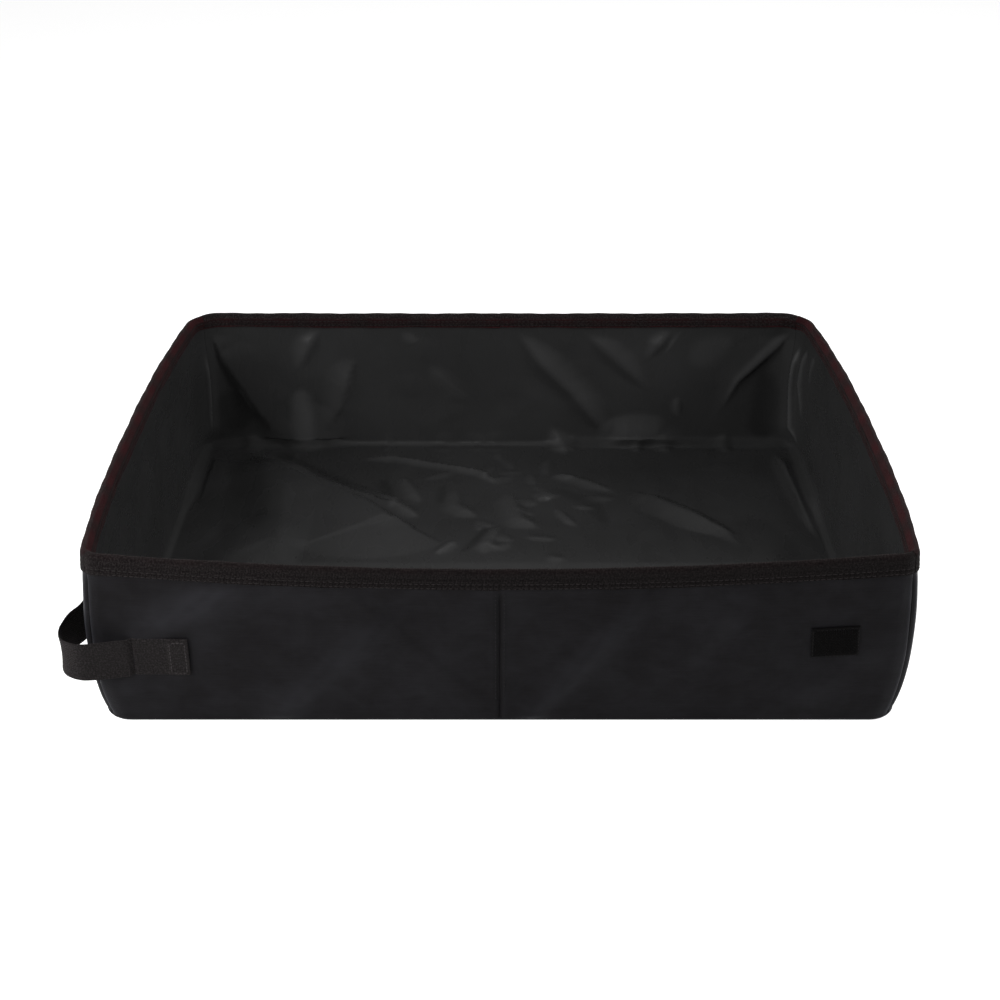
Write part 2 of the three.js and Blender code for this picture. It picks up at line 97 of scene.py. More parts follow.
# How fine the meshes are: steps along a wall in millimetres, and counts of rows, columns and turns
CLOTH_STEP, CLOTH_ROWS, FOOT_ROWS, FOOT_MIDDLE_COLUMNS = 2.4, 44, 10, 33
BOTTOM_STRIP, BOTTOM_STRIP_COLUMNS, BOTTOM_COLUMNS, BOTTOM_ROWS, BOTTOM_TURNS = 27, 37, 30, 46, 7
BOTTOM_RINGS = (12.0, 6.0)
FILM_STEP, FILM_TURNS, FILM_ROWS, FILM_FOOT_ROWS = 2.0, 11, 56, 17
FILM_FLOOR_COLUMNS, FILM_FLOOR_ROWS, FILM_MIDDLE_COLUMNS = 107, 185, 23
TAPE_STEP, TAPE_TURNS, CROWN_TURNS = 1.5, 13, 11
STRAP_STEP, STRAP_COLUMNS, SEAM_POINTS = 1.0, 180, 60

# Shape of a stitch, and the threads: pitch, length, width and height of their stitches
STITCH_SIZES, STITCH_SIDES, STITCH_LIFT, STITCH_DIP = (0.45, 0.9, 1.0, 0.9, 0.45), 6, 0.10, 1.1
RIM_THREAD = (3.4, 2.7, 0.62, 0.42)
SEAM_THREAD = (3.1, 2.3, 0.5, 0.35)
SEAM_ROW, SEAM_SEAT = 2.6, -0.32
STRAP_THREAD = (2.6, 2.0, 0.55, 0.4)
PATCH_THREAD = (2.6, 2.0, 0.4, 0.3)

# The walls. reach is half a wall's length and out its distance from the middle of the tray. The flats are the
# lengths of its cut sheets. A bend is two places, as an inset and a height, between which its foot bends. tight
# is the stretch where the lining sits close in the corner, loose what its radius gains elsewhere, and hold how
# much of the film's dullness goes where it is tight. bow and power shape the wall's curve at the rim, and sag
# its dip.
LONG_WALL = {
    "long": True, "reach": HALF_LENGTH, "out": HALF_WIDTH, "power": 2.0, "hinge": LONG_HINGE, "foot_top": 16.0,
    "flat": 258, "foot_flat": 236, "film_foot_flat": 235, "tape_flat": 258, "loose": 4.5, "hold": 1,
    "cloth_bend": ((0, 7), (0, 14.5)), "film_bend": ((9, 6), (STACK, 14.5)),
}
WALL_KINDS = {
    "front": {**LONG_WALL, "side": -1, "bow": 9.0, "sag": 6.0, "tight": (20, 120)},
    "rear": {**LONG_WALL, "side": 1, "bow": 8.0, "sag": 3.0, "tight": (-130, 40)},
    "end": {
        "long": False, "reach": HALF_WIDTH, "out": HALF_LENGTH, "power": 2.6, "hinge": END_HINGE,
        "foot_top": 13.0, "flat": 400, "foot_flat": 395, "film_foot_flat": 400, "tape_flat": 412, "loose": 3.2,
        "hold": 0.4, "cloth_bend": ((0, 3.2), (0, 9.5)), "film_bend": ((9, 5.5), (STACK, 10.5)),
        "side": 1, "bow": 9.0, "sag": 3.0, "tight": (-60, 80),
    },
}
HALVES = {"right": 1, "left": -1}
WALLS = {
    f"{name}_{half}": SimpleNamespace(name=name, half=half, hand=hand, body=f"{name}_{half}", **sizes)
    for half, hand in HALVES.items() for name, sizes in WALL_KINDS.items()
}


# Shape of the walls

def smoothstep(low, high, value):
    share = np.clip((value - low) / (high - low), 0, 1)
    return share * share * (3 - 2 * share)


def bell(distance, width):
    return np.exp(-((distance / width) ** 2))


def pair_up(first, second):
    return np.stack(np.broadcast_arrays(first, second), -1)


def walk(line):
    """Length walked along a line at each of its points."""
    return np.concatenate([[0], np.cumsum(np.linalg.norm(np.diff(line, axis=0), axis=1))])


def line_at(places, walked, line):
    """Points of a line at some lengths along it."""
    return np.stack([np.interp(places, walked, line[:, k]) for k in range(3)], -1)


def rim_top(wall, at):
    return RIM_HEIGHT - wall.sag * (1 - np.minimum(1, np.abs(at)) ** 2)


def rise_of(wall, at, z):
    return np.maximum(0, (z - wall.hinge) / (rim_top(wall, at) - wall.hinge))


def corner_radius(wall, at, rise):
    rim = np.where((wall.side if wall.long else at) < 0, FRONT_RADIUS, REAR_RADIUS)
    return BOTTOM_RADIUS + (rim - BOTTOM_RADIUS) * rise


def edge_inset(z):
    low = np.clip(EDGE_RADIUS - z, 0, EDGE_RADIUS)
    return EDGE_RADIUS - np.sqrt(EDGE_RADIUS ** 2 - low ** 2)


def bulge_at(z):
    level = np.clip((z - END_HINGE) / (RIM_HEIGHT - END_HINGE), 0, 1)
    return END_BULGE * np.sin(math.pi * level ** BULGE_PEAK)


def wall_point(wall, at, turn, z, depth, bulges=1):
    """Points of a wall at a depth under the cloth's face, and the way out of the wall there."""
    at, turn, z, depth = np.broadcast_arrays(*[np.asarray(value, float) for value in (at, turn, z, depth)])
    rise = rise_of(wall, at, z)
    radius = corner_radius(wall, at, rise)
    way = np.where(at < 0, -1.0, 1.0)
    along = at * (wall.reach - radius) + way * radius * np.sin(turn)
    away = wall.side * (wall.out - radius + radius * np.cos(turn))
    bow = wall.bow * (1 - np.clip(np.abs(along) / wall.reach, 0, 1) ** wall.power) * rise
    out = [way * np.sin(turn), wall.side * np.cos(turn)]
    along, away = [place + part * (bow - depth) for place, part in zip((along, away), out)]
    x, y = (along, away) if wall.long else (away, along)
    out_x, out_y = out if wall.long else out[::-1]
    taper = REAR_TAPER * rise * np.maximum(0, y / HALF_WIDTH) ** 2
    x = x + (bulge_at(z) * bulges - taper) * (x / HALF_LENGTH)
    return np.stack([x * wall.hand, y, z], -1), np.stack([out_x * wall.hand, out_y, 0 * z], -1)


def on_wall(body, along, z, depth):
    """A place on a wall given by its distance from the wall's middle, and the way out of the wall there."""
    wall = WALLS[body]
    if wall.long:
        along = along / (1 + bulge_at(z) / HALF_LENGTH)
    at = along / wall.reach
    radius = corner_radius(wall, at, rise_of(wall, at, z))
    return wall_point(wall, along / (wall.reach - radius), 0, z, depth)


def wall_columns(wall, step, turns=9):
    """Shares and turns of a wall's columns, and the length along the wall from its middle."""
    flat = wall.reach - BOTTOM_RADIUS
    low = 0 if wall.long else -1
    straight = np.linspace(low, 1, int(round((1 - low) * flat / step)) + 1)
    corner = np.linspace(0, CORNER, turns)[1:]
    at = np.concatenate([straight, np.ones(len(corner))])
    turn = np.concatenate([0 * straight, corner])
    if not wall.long:
        at = np.concatenate([-np.ones(len(corner)), at])
        turn = np.concatenate([corner[::-1], turn])
    return np.array([at, turn, at * flat + np.sign(at) * turn * BOTTOM_RADIUS])


def foot_columns(wall, step, turns=9):
    """The same columns without the strip where the two halves fold together."""
    columns = wall_columns(wall, step, turns)
    if not wall.long:
        return columns
    first = FOLD_HALF / (wall.reach - BOTTOM_RADIUS)
    return np.column_stack([(first, 0, FOLD_HALF), columns[:, columns[0] > first]])


def wall_rows(wall, at, count):
    return wall.foot_top + (rim_top(wall, at) - CROWN - wall.foot_top) * np.linspace(0, 1, count)


def wall_at(name, x):
    """The front or rear wall's half at a place along it."""
    return WALLS[f"{name}_right" if x >= 0 else f"{name}_left"]


def unzip(pairs):
    return [np.array(values) for values in zip(*pairs)]


def centre_strip(name, xs, skins_at):
    """Stacks what skins_at gives for each column of a strip that lies over both halves."""
    return unzip([skins_at(wall_at(name, x), abs(x)) for x in xs])


# Meshes

def grid_faces(columns, rows):
    index = np.arange(columns * rows).reshape(columns, rows)
    return np.stack([index[:-1, :-1], index[1:, :-1], index[1:, 1:], index[:-1, 1:]], -1).reshape(-1, 4)


def tube_faces(start, rings, sides):
    """Faces of a closed tube whose points lie ring after ring."""
    last = start + (rings - 1) * sides
    faces = []
    for a in range(start, last, sides):
        for j in range(sides):
            k = (j + 1) % sides
            faces.append([a + j, a + k, a + k + sides, a + j + sides])
    return faces + [[start + j for j in reversed(range(sides))], [last + j for j in range(sides)]]


def add_object(name, data):
    thing = bpy.data.objects.new(name, data)
    bpy.context.scene.collection.objects.link(thing)
    return thing


def add_mesh(name, points, faces, lay, material, smooth_angle=50):
    """A mesh in metres. lay holds what the material reads at each point, in millimetres."""
    mesh = bpy.data.meshes.new(name)
    mesh.from_pydata((np.asarray(points) * MM).tolist(), [], faces)
    mesh.polygons.foreach_set("use_smooth", np.ones(len(mesh.polygons), bool))
    mesh.set_sharp_from_angle(angle=math.radians(smooth_angle))
    for key, values in lay.items():
        values = np.asarray(values, np.float32)
        kind, field = ("FLOAT", "value") if values.ndim == 1 else ("FLOAT_VECTOR", "vector")
        mesh.attributes.new(key, kind, "POINT").data.foreach_set(field, values.ravel())
    mesh.materials.append(material)
    return add_object(name, mesh)


def add_sheet(name, outer, inner, material, lay, looks=None, faces=None):
    """A closed sheet from its two skins, which are grids of points or lists with their own faces."""
    if faces is None:
        faces = grid_faces(*outer.shape[:2])
    outer, inner = outer.reshape(-1, 3), inner.reshape(-1, 3)
    count = len(outer)
    faces = [[v for i, v in enumerate(f) if v != f[i - 1]] for f in np.asarray(faces).tolist()]
    free = {}
    for face in faces:
        for p, q in zip(face, face[1:] + face[:1]):
            if free.pop((q, p), None) is None:
                free[(p, q)] = True
    every = faces + [[v + count for v in reversed(face)] for face in faces]
    every += [[q, p, p + count, q + count] for p, q in free]
    points = np.concatenate([outer, inner])
    if signed_volume(points, every) < 0:
        every = [face[::-1] for face in every]
    lay = np.asarray(lay, float).reshape(-1, 2)
    skin = np.repeat([0.0, 1.0], count)
    values = {"lay": np.column_stack([np.concatenate([lay, lay]), skin])}
    for key, value in (looks or {}).items():
        values[key] = np.tile(np.asarray(value, float).reshape(-1), 2)
    return add_mesh(name, points, every, values, material)


def signed_volume(points, faces):
    total = 0
    for shift in (0, 1):
        fans = [face for face in faces if len(face) > 2 + shift]
        a, b, c = [points[[face[k] for face in fans]] for k in (0, 1 + shift, 2 + shift)]
        total += np.einsum("ij,ij->i", a, np.cross(b, c)).sum()
    return total


# Materials: all but the solid ones read the attribute "lay", the place on the flat cloth in millimetres

def new_material(name, **sockets):
    material = bpy.data.materials.new(name)
    material.use_nodes = True
    tree = material.node_tree
    tree.nodes.clear()
    output = tree.nodes.new("ShaderNodeOutputMaterial")
    shader = tree.nodes.new("ShaderNodeBsdfPrincipled")
    tree.links.new(shader.outputs[0], output.inputs[0])
    for key, value in sockets.items():
        shader.inputs[key.replace("_", " ")].default_value = value
    return material, tree, shader


def put(tree, kind, inputs=None, **settings):
    node = tree.nodes.new(kind)
    for key, value in settings.items():
        setattr(node, key, value)
    for key, value in (inputs or {}).items():
        if isinstance(value, bpy.types.NodeSocket):
            tree.links.new(value, node.inputs[key])
        else:
            node.inputs[key].default_value = value
    return node


def calc(tree, operation, *values):
    return put(tree, "ShaderNodeMath", dict(enumerate(values)), operation=operation).outputs[0]


def attribute(tree, name, output="Fac"):
    return put(tree, "ShaderNodeAttribute", attribute_name=name).outputs[output]


def noise(tree, place, scale, detail=3.0, roughness=0.5, distortion=0.0):
    inputs = {
        "Vector": place, "Scale": scale, "Detail": detail, "Roughness": roughness, "Distortion": distortion,
    }
    return put(tree, "ShaderNodeTexNoise", inputs).outputs[0]


def ramp(tree, value, start, end, low=0.3, high=0.7):
    """Takes a value from low to high over into start to end. Noise lies nearly all between 0.3 and 0.7."""
    return put(tree, "ShaderNodeMapRange", {0: value, 1: low, 2: high, 3: start, 4: end}).outputs[0]


def mixed(tree, share, first, second):
    return put(tree, "ShaderNodeMix", {0: share, 6: first, 7: second}, data_type="RGBA").outputs[2]


def bump(tree, shader, height, strength, distance, before=None):
    inputs = {"Height": height, "Strength": strength, "Distance": distance}
    if before:
        inputs["Normal"] = before.outputs[0]
    node = put(tree, "ShaderNodeBump", inputs)
    tree.links.new(node.outputs[0], shader.inputs["Normal"])
    return node


def scaled(tree, place, factors):
    return put(tree, "ShaderNodeMapping", {"Vector": place, "Scale": factors}).outputs[0]


def across_along(tree, place):
    return put(tree, "ShaderNodeSeparateXYZ", {0: place}).outputs[:2]


def paint(tree, shader, color, gloss):
    tree.links.new(color, shader.inputs["Base Color"])
    tree.links.new(gloss, shader.inputs["Roughness"])


def weave(tree, places, pitches):
    """Height of a plain weave: two sets of round threads that pass over each other in turn."""
    waves = [calc(tree, "SINE", calc(tree, "MULTIPLY", place, math.pi / pitch))
             for place, pitch in zip(places, pitches)]
    over = calc(tree, "GREATER_THAN", calc(tree, "MULTIPLY", *waves), 0.0)
    warp, weft = [calc(tree, "ABSOLUTE", wave) for wave in waves]
    return calc(tree, "ADD", weft, calc(tree, "MULTIPLY", over, calc(tree, "SUBTRACT", warp, weft)))


# Colours, and pairs of colours from dark to light
CLOTH_YARN = ((0.0056, 0.0050, 0.0054, 1), (0.0178, 0.0174, 0.0200, 1))
CLOTH_GAP = (0.004, 0.004, 0.0045, 1)
FILM = ((0.0228, 0.0228, 0.0228, 1), (0.0275, 0.0275, 0.0278, 1))
FILM_PAINTED_HIGHLIGHT = (0.0520, 0.0520, 0.0525, 1)
FILM_PAINTED_SHADE = (0.0110, 0.0110, 0.0110, 1)
EDGE_YARN = ((0.0012, 0.0008, 0.0009, 1), (0.0112, 0.0092, 0.0092, 1))
EDGE_RED = (0.0330, 0.0045, 0.0062, 1)
EDGE_GROOVE_SHADE = (0.0022, 0.0016, 0.0017, 1)
# How much lighter the tape's yarn is painted on its lit stretches: a painted highlight.
EDGE_HIGHLIGHT_GAIN = 3.5
STRAP_YARN = ((0.0082, 0.0073, 0.0075, 1), (0.0240, 0.0215, 0.0220, 1))
RIM_THREAD_COLORS = ((0.006, 0.0048, 0.0049, 1), (0.024, 0.020, 0.020, 1))
DARK_THREAD_COLORS = ((0.0030, 0.0027, 0.0030, 1), (0.0085, 0.0080, 0.0088, 1))
LIGHT_THREAD_COLORS = ((0.022, 0.019, 0.0195, 1), (0.060, 0.054, 0.055, 1))
NYLON = ((0.0007, 0.0006, 0.0006, 1), (0.0025, 0.0021, 0.0022, 1))
BOARD = ((0.22, 0.22, 0.21, 1), (0.32, 0.32, 0.30, 1))


def cloth_material(warp_pitch=0.62, weft_pitch=0.55):
    material, tree, shader = new_material(
        "woven_cloth", Sheen_Weight=0.04, Sheen_Roughness=0.45, Sheen_Tint=(0.62, 0.66, 0.85, 1),
        Specular_IOR_Level=0.05,
    )
    place = attribute(tree, "lay", "Vector")
    threads = weave(tree, across_along(tree, place), (warp_pitch, weft_pitch))
    blotch = noise(tree, place, 0.018, 4.0, 0.6)
    slub = noise(tree, scaled(tree, place, (0.05, 1.1, 1)), 1.0, 2.0)
    mottle = noise(tree, scaled(tree, place, (0.05, 0.07, 1)), 1.0, 3.0, 0.6, 0.5)
    # The yarn is painted lighter along the front's bands and seam lips (painted highlight) and darker in the
    # seam grooves (painted shade).
    level = calc(tree, "ADD", ramp(tree, blotch, 0.0, 0.4), calc(tree, "MULTIPLY", attribute(tree, "painted_shading"), 0.9))
    for grain, reach in ((slub, 0.08), (mottle, 0.16)):
        level = calc(tree, "ADD", level, ramp(tree, grain, -reach, reach))
    base = mixed(tree, level, *CLOTH_YARN)
    base = mixed(tree, ramp(tree, threads, 0.45, 0.0, 0.15, 0.8), base, CLOTH_GAP)
    gloss = calc(tree, "ADD", ramp(tree, blotch, 0.62, 0.5), ramp(tree, threads, 0.1, -0.05, 0, 1))
    paint(tree, shader, base, gloss)
    first = bump(tree, shader, threads, 0.35, 0.00012)
    bump(tree, shader, noise(tree, place, 0.12), 0.25, 0.0006, first)
    return material


def lining_material():
    """Coated film. Painted highlight and painted shade lie along its folds, painted shade along its loose foot,
    and dull takes the gloss off its loose foot.
    """
    material, tree, shader = new_material("coated_lining", Specular_IOR_Level=0.05)
    place = attribute(tree, "lay", "Vector")
    painted_light = attribute(tree, "painted_light")
    blotch = noise(tree, place, 0.012, 4.0, 0.55, 0.4)
    base = mixed(tree, ramp(tree, blotch, 0, 1, 0.35, 0.65), *FILM)
    # Painted highlight on the folds' lit facets, then painted shade on folds and in the corners.
    base = mixed(tree, ramp(tree, painted_light, 0, 1, 0, 1), base, FILM_PAINTED_HIGHLIGHT)
    base = mixed(tree, ramp(tree, painted_light, 0, 1, 0, -1), base, FILM_PAINTED_SHADE)
    scuff = noise(tree, scaled(tree, place, (1, 0.35, 1)), 0.06)
    dull = calc(tree, "MULTIPLY", attribute(tree, "dull"), 0.5)
    paint(tree, shader, base, calc(tree, "ADD", ramp(tree, scuff, 0.24, 0.32), dull))
    bump(tree, shader, noise(tree, place, 0.04, 2.0, 0.4, 0.4), 0.035, 0.002)
    return material


def tape_material(name, dark, light, pitch, edge=False):
    material, tree, shader = new_material(
        name, Sheen_Weight=0.03, Sheen_Roughness=0.6, Sheen_Tint=(0.9, 0.8, 0.78, 1), Specular_IOR_Level=0.05,
    )
    place = attribute(tree, "lay", "Vector")
    across, along = across_along(tree, place)
    slant = calc(tree, "ADD", across, calc(tree, "MULTIPLY", along, 0.5))
    ribs = weave(tree, (slant, along), (pitch, pitch * 1.4))
    fuzz = noise(tree, scaled(tree, place, (0.95, 0.75, 1)), 1.0, 3.0, 0.65)
    # Yarn grain, partly painted glints of light off the coarse threads.
    grain_and_glints = calc(tree, "MULTIPLY", ramp(tree, fuzz, 0, 1, 0.46, 0.62), ramp(tree, ribs, 0.4, 1, 0.3, 0.9))
    if edge:
        # A painted highlight: the tape's yarn made lighter where it is lit.
        painted_highlight = attribute(tree, "painted_highlight")
        dark, light = [mixed(tree, painted_highlight, color, tuple(EDGE_HIGHLIGHT_GAIN * part for part in color[:3]) + (1,))
                       for color in (dark, light)]
    base = mixed(tree, grain_and_glints, dark, light)
    if edge:
        base = mixed(tree, attribute(tree, "edge"), base, EDGE_RED)
        # Painted shade in the grooves where the stitches pull the tape in.
        base = mixed(tree, attribute(tree, "painted_shading"), base, EDGE_GROOVE_SHADE)
    paint(tree, shader, base, ramp(tree, fuzz, 0.95, 0.7))
    first = bump(tree, shader, ribs, 0.7, 0.0003)
    bump(tree, shader, fuzz, 0.5, 0.0004, first)
    return material


def thread_material(name, dark, light):
    material, tree, shader = new_material(
        name, Sheen_Weight=0.04, Sheen_Tint=(0.8, 0.75, 0.75, 1), Specular_IOR_Level=0.1,
    )
    place = attribute(tree, "lay", "Vector")
    twist = noise(tree, place, 0.9, 2.0)
    paint(tree, shader, mixed(tree, ramp(tree, twist, 0, 1), dark, light), ramp(tree, twist, 0.75, 0.55))
    bump(tree, shader, noise(tree, place, 6.0, 2.0), 0.4, 0.0002)
    return material


def solid_material(name, specular, colors, factors, scale, detail, low, gloss):
    """A material with a fine grain through it, for the hooks and the boards."""
    material, tree, shader = new_material(name, Specular_IOR_Level=specular)
    place = put(tree, "ShaderNodeTexCoord").outputs["Object"]
    grain = noise(tree, scaled(tree, place, factors), scale, detail)
    paint(tree, shader, mixed(tree, ramp(tree, grain, 0, 1, low), *colors), ramp(tree, grain, *gloss))
    bump(tree, shader, grain, 0.3, 0.0002)
    return material


CLOTH_LOOK = cloth_material()
LINING_LOOK = lining_material()
TAPE_LOOK = tape_material("edge_webbing", *EDGE_YARN, 0.8, True)
STRAP_LOOK = tape_material("strap_webbing", *STRAP_YARN, 0.9)
THREAD_LOOK = thread_material("sewing_thread", *RIM_THREAD_COLORS)
DARK_THREAD_LOOK = thread_material("dark_thread", *DARK_THREAD_COLORS)
LIGHT_THREAD_LOOK = thread_material("strap_thread", *LIGHT_THREAD_COLORS)
HOOK_LOOK = solid_material("hook_nylon", 0.04, NYLON, (1, 1, 1), 900.0, 2.0, 0.35, (0.6, 0.4))
BOARD_LOOK = solid_material("grey_board", 0.4, BOARD, (40, 600, 600), 1.0, 4.0, 0.3, (0.8, 0.6))
for node_name, node_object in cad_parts.items():
    if "board" in node_name:
        node_object.data.materials.clear()
        node_object.data.materials.append(BOARD_LOOK)


# Outer cloth

def line_place(u, v, a, b):
    """Distance to the side of a line, and the share of the way along it."""
    run_u, run_v = b[0] - a[0], b[1] - a[1]
    length = math.hypot(run_u, run_v)
    along = ((u - a[0]) * run_u + (v - a[1]) * run_v) / length ** 2
    return ((u - a[0]) * run_v - (v - a[1]) * run_u) / length, along


# Soft ridges that show through the front cloth: two ends in x and z, width, height and how much painted
# highlight (sheen) lies along them
FRONT_BANDS = [
    ((-152, -4), (-66, 80), 10, 2.4, 0.45),
    ((8, -8), (86, 92), 8, 2.9, 0.5),
    ((-214, 72), (-150, 106), 10, 1.8, 0.8),
    ((100, 30), (150, 100), 12, 1.8, 0.15),
    ((-40, 30), (-5, 100), 11, 1.3, 0.1),
    ((170, 8), (236, 60), 12, 1.5, 0.2),
    ((-240, 10), (-205, 90), 12, 1.4, 0.25),
]
# Seams: how far the lip lies from the groove, then height and width of groove and lip, and of the painted shade
# in the groove and the painted highlight on the lip
CENTRE_SEAM = (3.2, (-1.3, 1.1), (0.35, 1.8), (-0.6, 1.3), (0.12, 1.5))
CORNER_SEAM = (2.6, (-0.9, 1.0), (0.4, 1.3), (-0.4, 1.2), (0.45, 1.2))
CORNER_STRETCH = 12
NO_SEAM = 9
GUSSET_DEPTH = 0.7
PUCKER, PUCKER_PITCH, PUCKER_REACH = 0.22, 3.7, 7
SWELL, RIPPLE = 0.30, 0.18


def seam(distance, lip_place, *parts):
    """Relief, and painted shade and highlight, at a distance from a seam."""
    groove, lip, groove_shade, lip_highlight = [
        height * bell(distance - place, width)
        for place, (height, width) in zip((0, lip_place, 0, lip_place), parts)
    ]
    return groove + lip, lip_highlight + groove_shade


def cloth_relief(wall, at, turn, z):
    """How far the cloth stands out of the wall's plain shape, and the painted highlight and shade on it."""
    point, _ = wall_point(wall, at, turn, z, 0)
    along = point[..., 0 if wall.long else 1]
    relief = SWELL * np.sin(along / 31 + 1.3) * np.sin(z / 27 + 0.6 + along / 90)
    relief += RIPPLE * np.sin(along / 13 - z / 19 + wall.hand) * np.sin(z / 15 + 2.0)
    painted_shading = 0 * relief
    if wall.name == "front":
        for a, b, width, height, painted_sheen in FRONT_BANDS:
            aside, share = line_place(along, z, a, b)
            ends = smoothstep(-0.1, 0.25, share) * smoothstep(1.15, 0.75, share)
            wrinkle = 1 + 0.3 * np.sin(aside / 2.1 + 3 * share) * np.sin(share * 9 + aside / 5)
            relief += height * bell(aside, width) * ends
            # Painted highlight along each band, standing in for sheen.
            painted_shading += painted_sheen * bell(aside, width) * ends * wrinkle
    pucker = bell(z - rim_top(wall, at) + OUTER_LEG, PUCKER_REACH)
    relief += PUCKER * pucker * np.sin(along / PUCKER_PITCH + 0.8 * np.sin(along / 17))
    seams = [(np.where(turn > 0, (CORNER - turn), NO_SEAM) * CORNER_STRETCH, CORNER_SEAM)]
    if wall.long:
        middle = np.abs(along)
        gusset = smoothstep(3, -3, middle - (z - wall.hinge) - 3)
        relief -= GUSSET_DEPTH * gusset * smoothstep(4, 30, z)
        seams.insert(0, (middle, CENTRE_SEAM))
    for distance, shape in seams:
        seam_relief, seam_shading = seam(distance, *shape)
        relief += seam_relief
        # Painted shade in the seam's groove and painted highlight on its lip.
        painted_shading += seam_shading
    settle = smoothstep(0, 6, z)
    under_tape = smoothstep(OUTER_LEG + 9, OUTER_LEG - 1, rim_top(wall, at) - z)
    return relief * settle * (1 - 0.8 * under_tape), painted_shading * settle * (1 - under_tape)


def cloth_skins(wall, at, turn, z):
    relief, painted_shading = cloth_relief(wall, at, turn, z)
    outer, inner = [wall_point(wall, at, turn, z, edge_inset(z) - relief + depth)[0] for depth in (0, CLOTH)]
    return outer, inner, painted_shading


def settle_on(piece, wall, kind=None):
    """Lets a piece ride with its wall, and hides the part that it stands for."""
    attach(piece, wall.body)
    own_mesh(piece)
    if kind:
        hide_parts(f"{wall.name}_{kind}_{wall.half}")


def blend_foot(piece):
    """Bakes the place of a wall's foot, built already bent from the floor up to the wall, into its mesh."""
    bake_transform(piece)


def blend_centre(piece):
    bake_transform(piece)


def cloth_piece(name, outer, inner, lay, painted_shading, faces=None):
    piece = add_sheet(name, outer, inner, CLOTH_LOOK, lay, {"painted_shading": painted_shading}, faces)
    return piece


def make_cloth_walls():
    for wall in WALLS.values():
        at, turn, length = wall_columns(wall, CLOTH_STEP)[..., None]
        z = wall_rows(wall, at, CLOTH_ROWS)
        outer, inner, painted_shading = cloth_skins(wall, at, turn, z)
        piece = cloth_piece(f"cloth_{wall.body}", outer, inner, pair_up(length * wall.hand, z), painted_shading)
        settle_on(piece, wall, "cloth")

        at, turn, length = foot_columns(wall, CLOTH_STEP)[..., None]
        z = np.linspace(BASE_TOP, wall.foot_top, FOOT_ROWS)
        outer, inner, painted_shading = cloth_skins(wall, at, turn, z)
        piece = cloth_piece(f"cloth_foot_{wall.body}", outer, inner, pair_up(length * wall.hand, z), painted_shading)
        blend_foot(piece)


def perimeter(xs, ys, turns):
    """Columns round the whole tray: which wall, share, turn and the grid point inside."""
    last_x, last_y = len(xs) - 1, len(ys) - 1

    def long_side(name, j):
        return [(wall_at(name, x), abs(x) / xs[-1], (i, j)) for i, x in enumerate(xs)]

    def end_side(body, i):
        return [(WALLS[body], y / ys[-1], (i, j)) for j, y in enumerate(ys)]

    sides = [long_side("front", 0), end_side("end_right", last_x), long_side("rear", last_y)[::-1],
             end_side("end_left", 0)[::-1]]
    angles = np.linspace(0, CORNER, turns)[1:]
    columns = []
    for side, following in zip(sides, sides[1:] + sides[:1]):
        columns += [(wall, at, 0.0, spot) for wall, at, spot in side]
        (wall, at, spot), (after, after_at, _) = side[-1], following[0]
        columns += [(wall, at, angle, spot) for angle in angles]
        columns += [(after, after_at, angle, spot) for angle in angles[-2::-1]]
    return columns


def make_bottom():
    """Bottom cloth of both halves in one sheet, with its edge turned up all round."""
    near = np.linspace(-BOTTOM_STRIP, BOTTOM_STRIP, BOTTOM_STRIP_COLUMNS)
    far = np.linspace(BOTTOM_STRIP, FLAT_X, BOTTOM_COLUMNS)[1:]
    xs = np.concatenate([-far[::-1], near, far])
    ys = np.linspace(-FLAT_Y, FLAT_Y, BOTTOM_ROWS)
    columns = perimeter(xs, ys, BOTTOM_TURNS)
    rise = np.linspace(0, BASE_TOP, BOTTOM_TURNS)
    heights = np.concatenate([0 * np.array(BOTTOM_RINGS), rise])
    insets = np.concatenate([BOTTOM_RINGS, edge_inset(rise)])
    lean = np.clip((EDGE_RADIUS - insets) / EDGE_RADIUS, 0, 1)
    skins = []
    for deep in (0, CLOTH):
        grid = np.stack(np.broadcast_arrays(xs[:, None], ys, deep), -1).reshape(-1, 3)
        ring = []
        for wall, at, turn, _ in columns:
            point, _ = wall_point(wall, at, turn, heights, insets + deep * lean)
            point[:, 2] = heights + deep * (1 - lean)
            ring.append(point)
        skins.append(np.concatenate([grid, *ring]))
    index = np.arange(len(xs) * len(ys)).reshape(len(xs), len(ys))
    faces = grid_faces(len(xs), len(ys)).tolist()
    base, count, rows = index.size, len(columns), len(insets)
    for k, column in enumerate(columns):
        after = (k + 1) % count
        here, there = int(index[column[3]]), int(index[columns[after][3]])
        faces.append([here, there, base + after * rows, base + k * rows])
        for r in range(rows - 1):
            a, b = base + k * rows + r, base + after * rows + r
            faces.append([a, b, b + 1, a + 1])
    lay = skins[0][:, :2]
    piece = cloth_piece("cloth_bottom", *skins, lay, np.zeros(len(lay)), faces)
    blend_centre(piece)
    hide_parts("floor_cloth_right", "floor_cloth_left", "fold_hinge")


def make_centre_feet():
    """The foot of the long walls at the strip where the two halves fold together."""
    high = LONG_WALL["foot_top"]
    xs = np.linspace(-FOLD_HALF, FOLD_HALF, FOOT_MIDDLE_COLUMNS)
    z = np.linspace(BASE_TOP, high, FOOT_ROWS)
    for name in ("front", "rear"):
        skins = centre_strip(name, xs, lambda wall, x: cloth_skins(wall, x / FLAT_X, 0.0, z))
        piece = cloth_piece(f"cloth_foot_{name}_middle", *skins[:2], pair_up(xs[:, None], z), skins[2])
        blend_centre(piece)
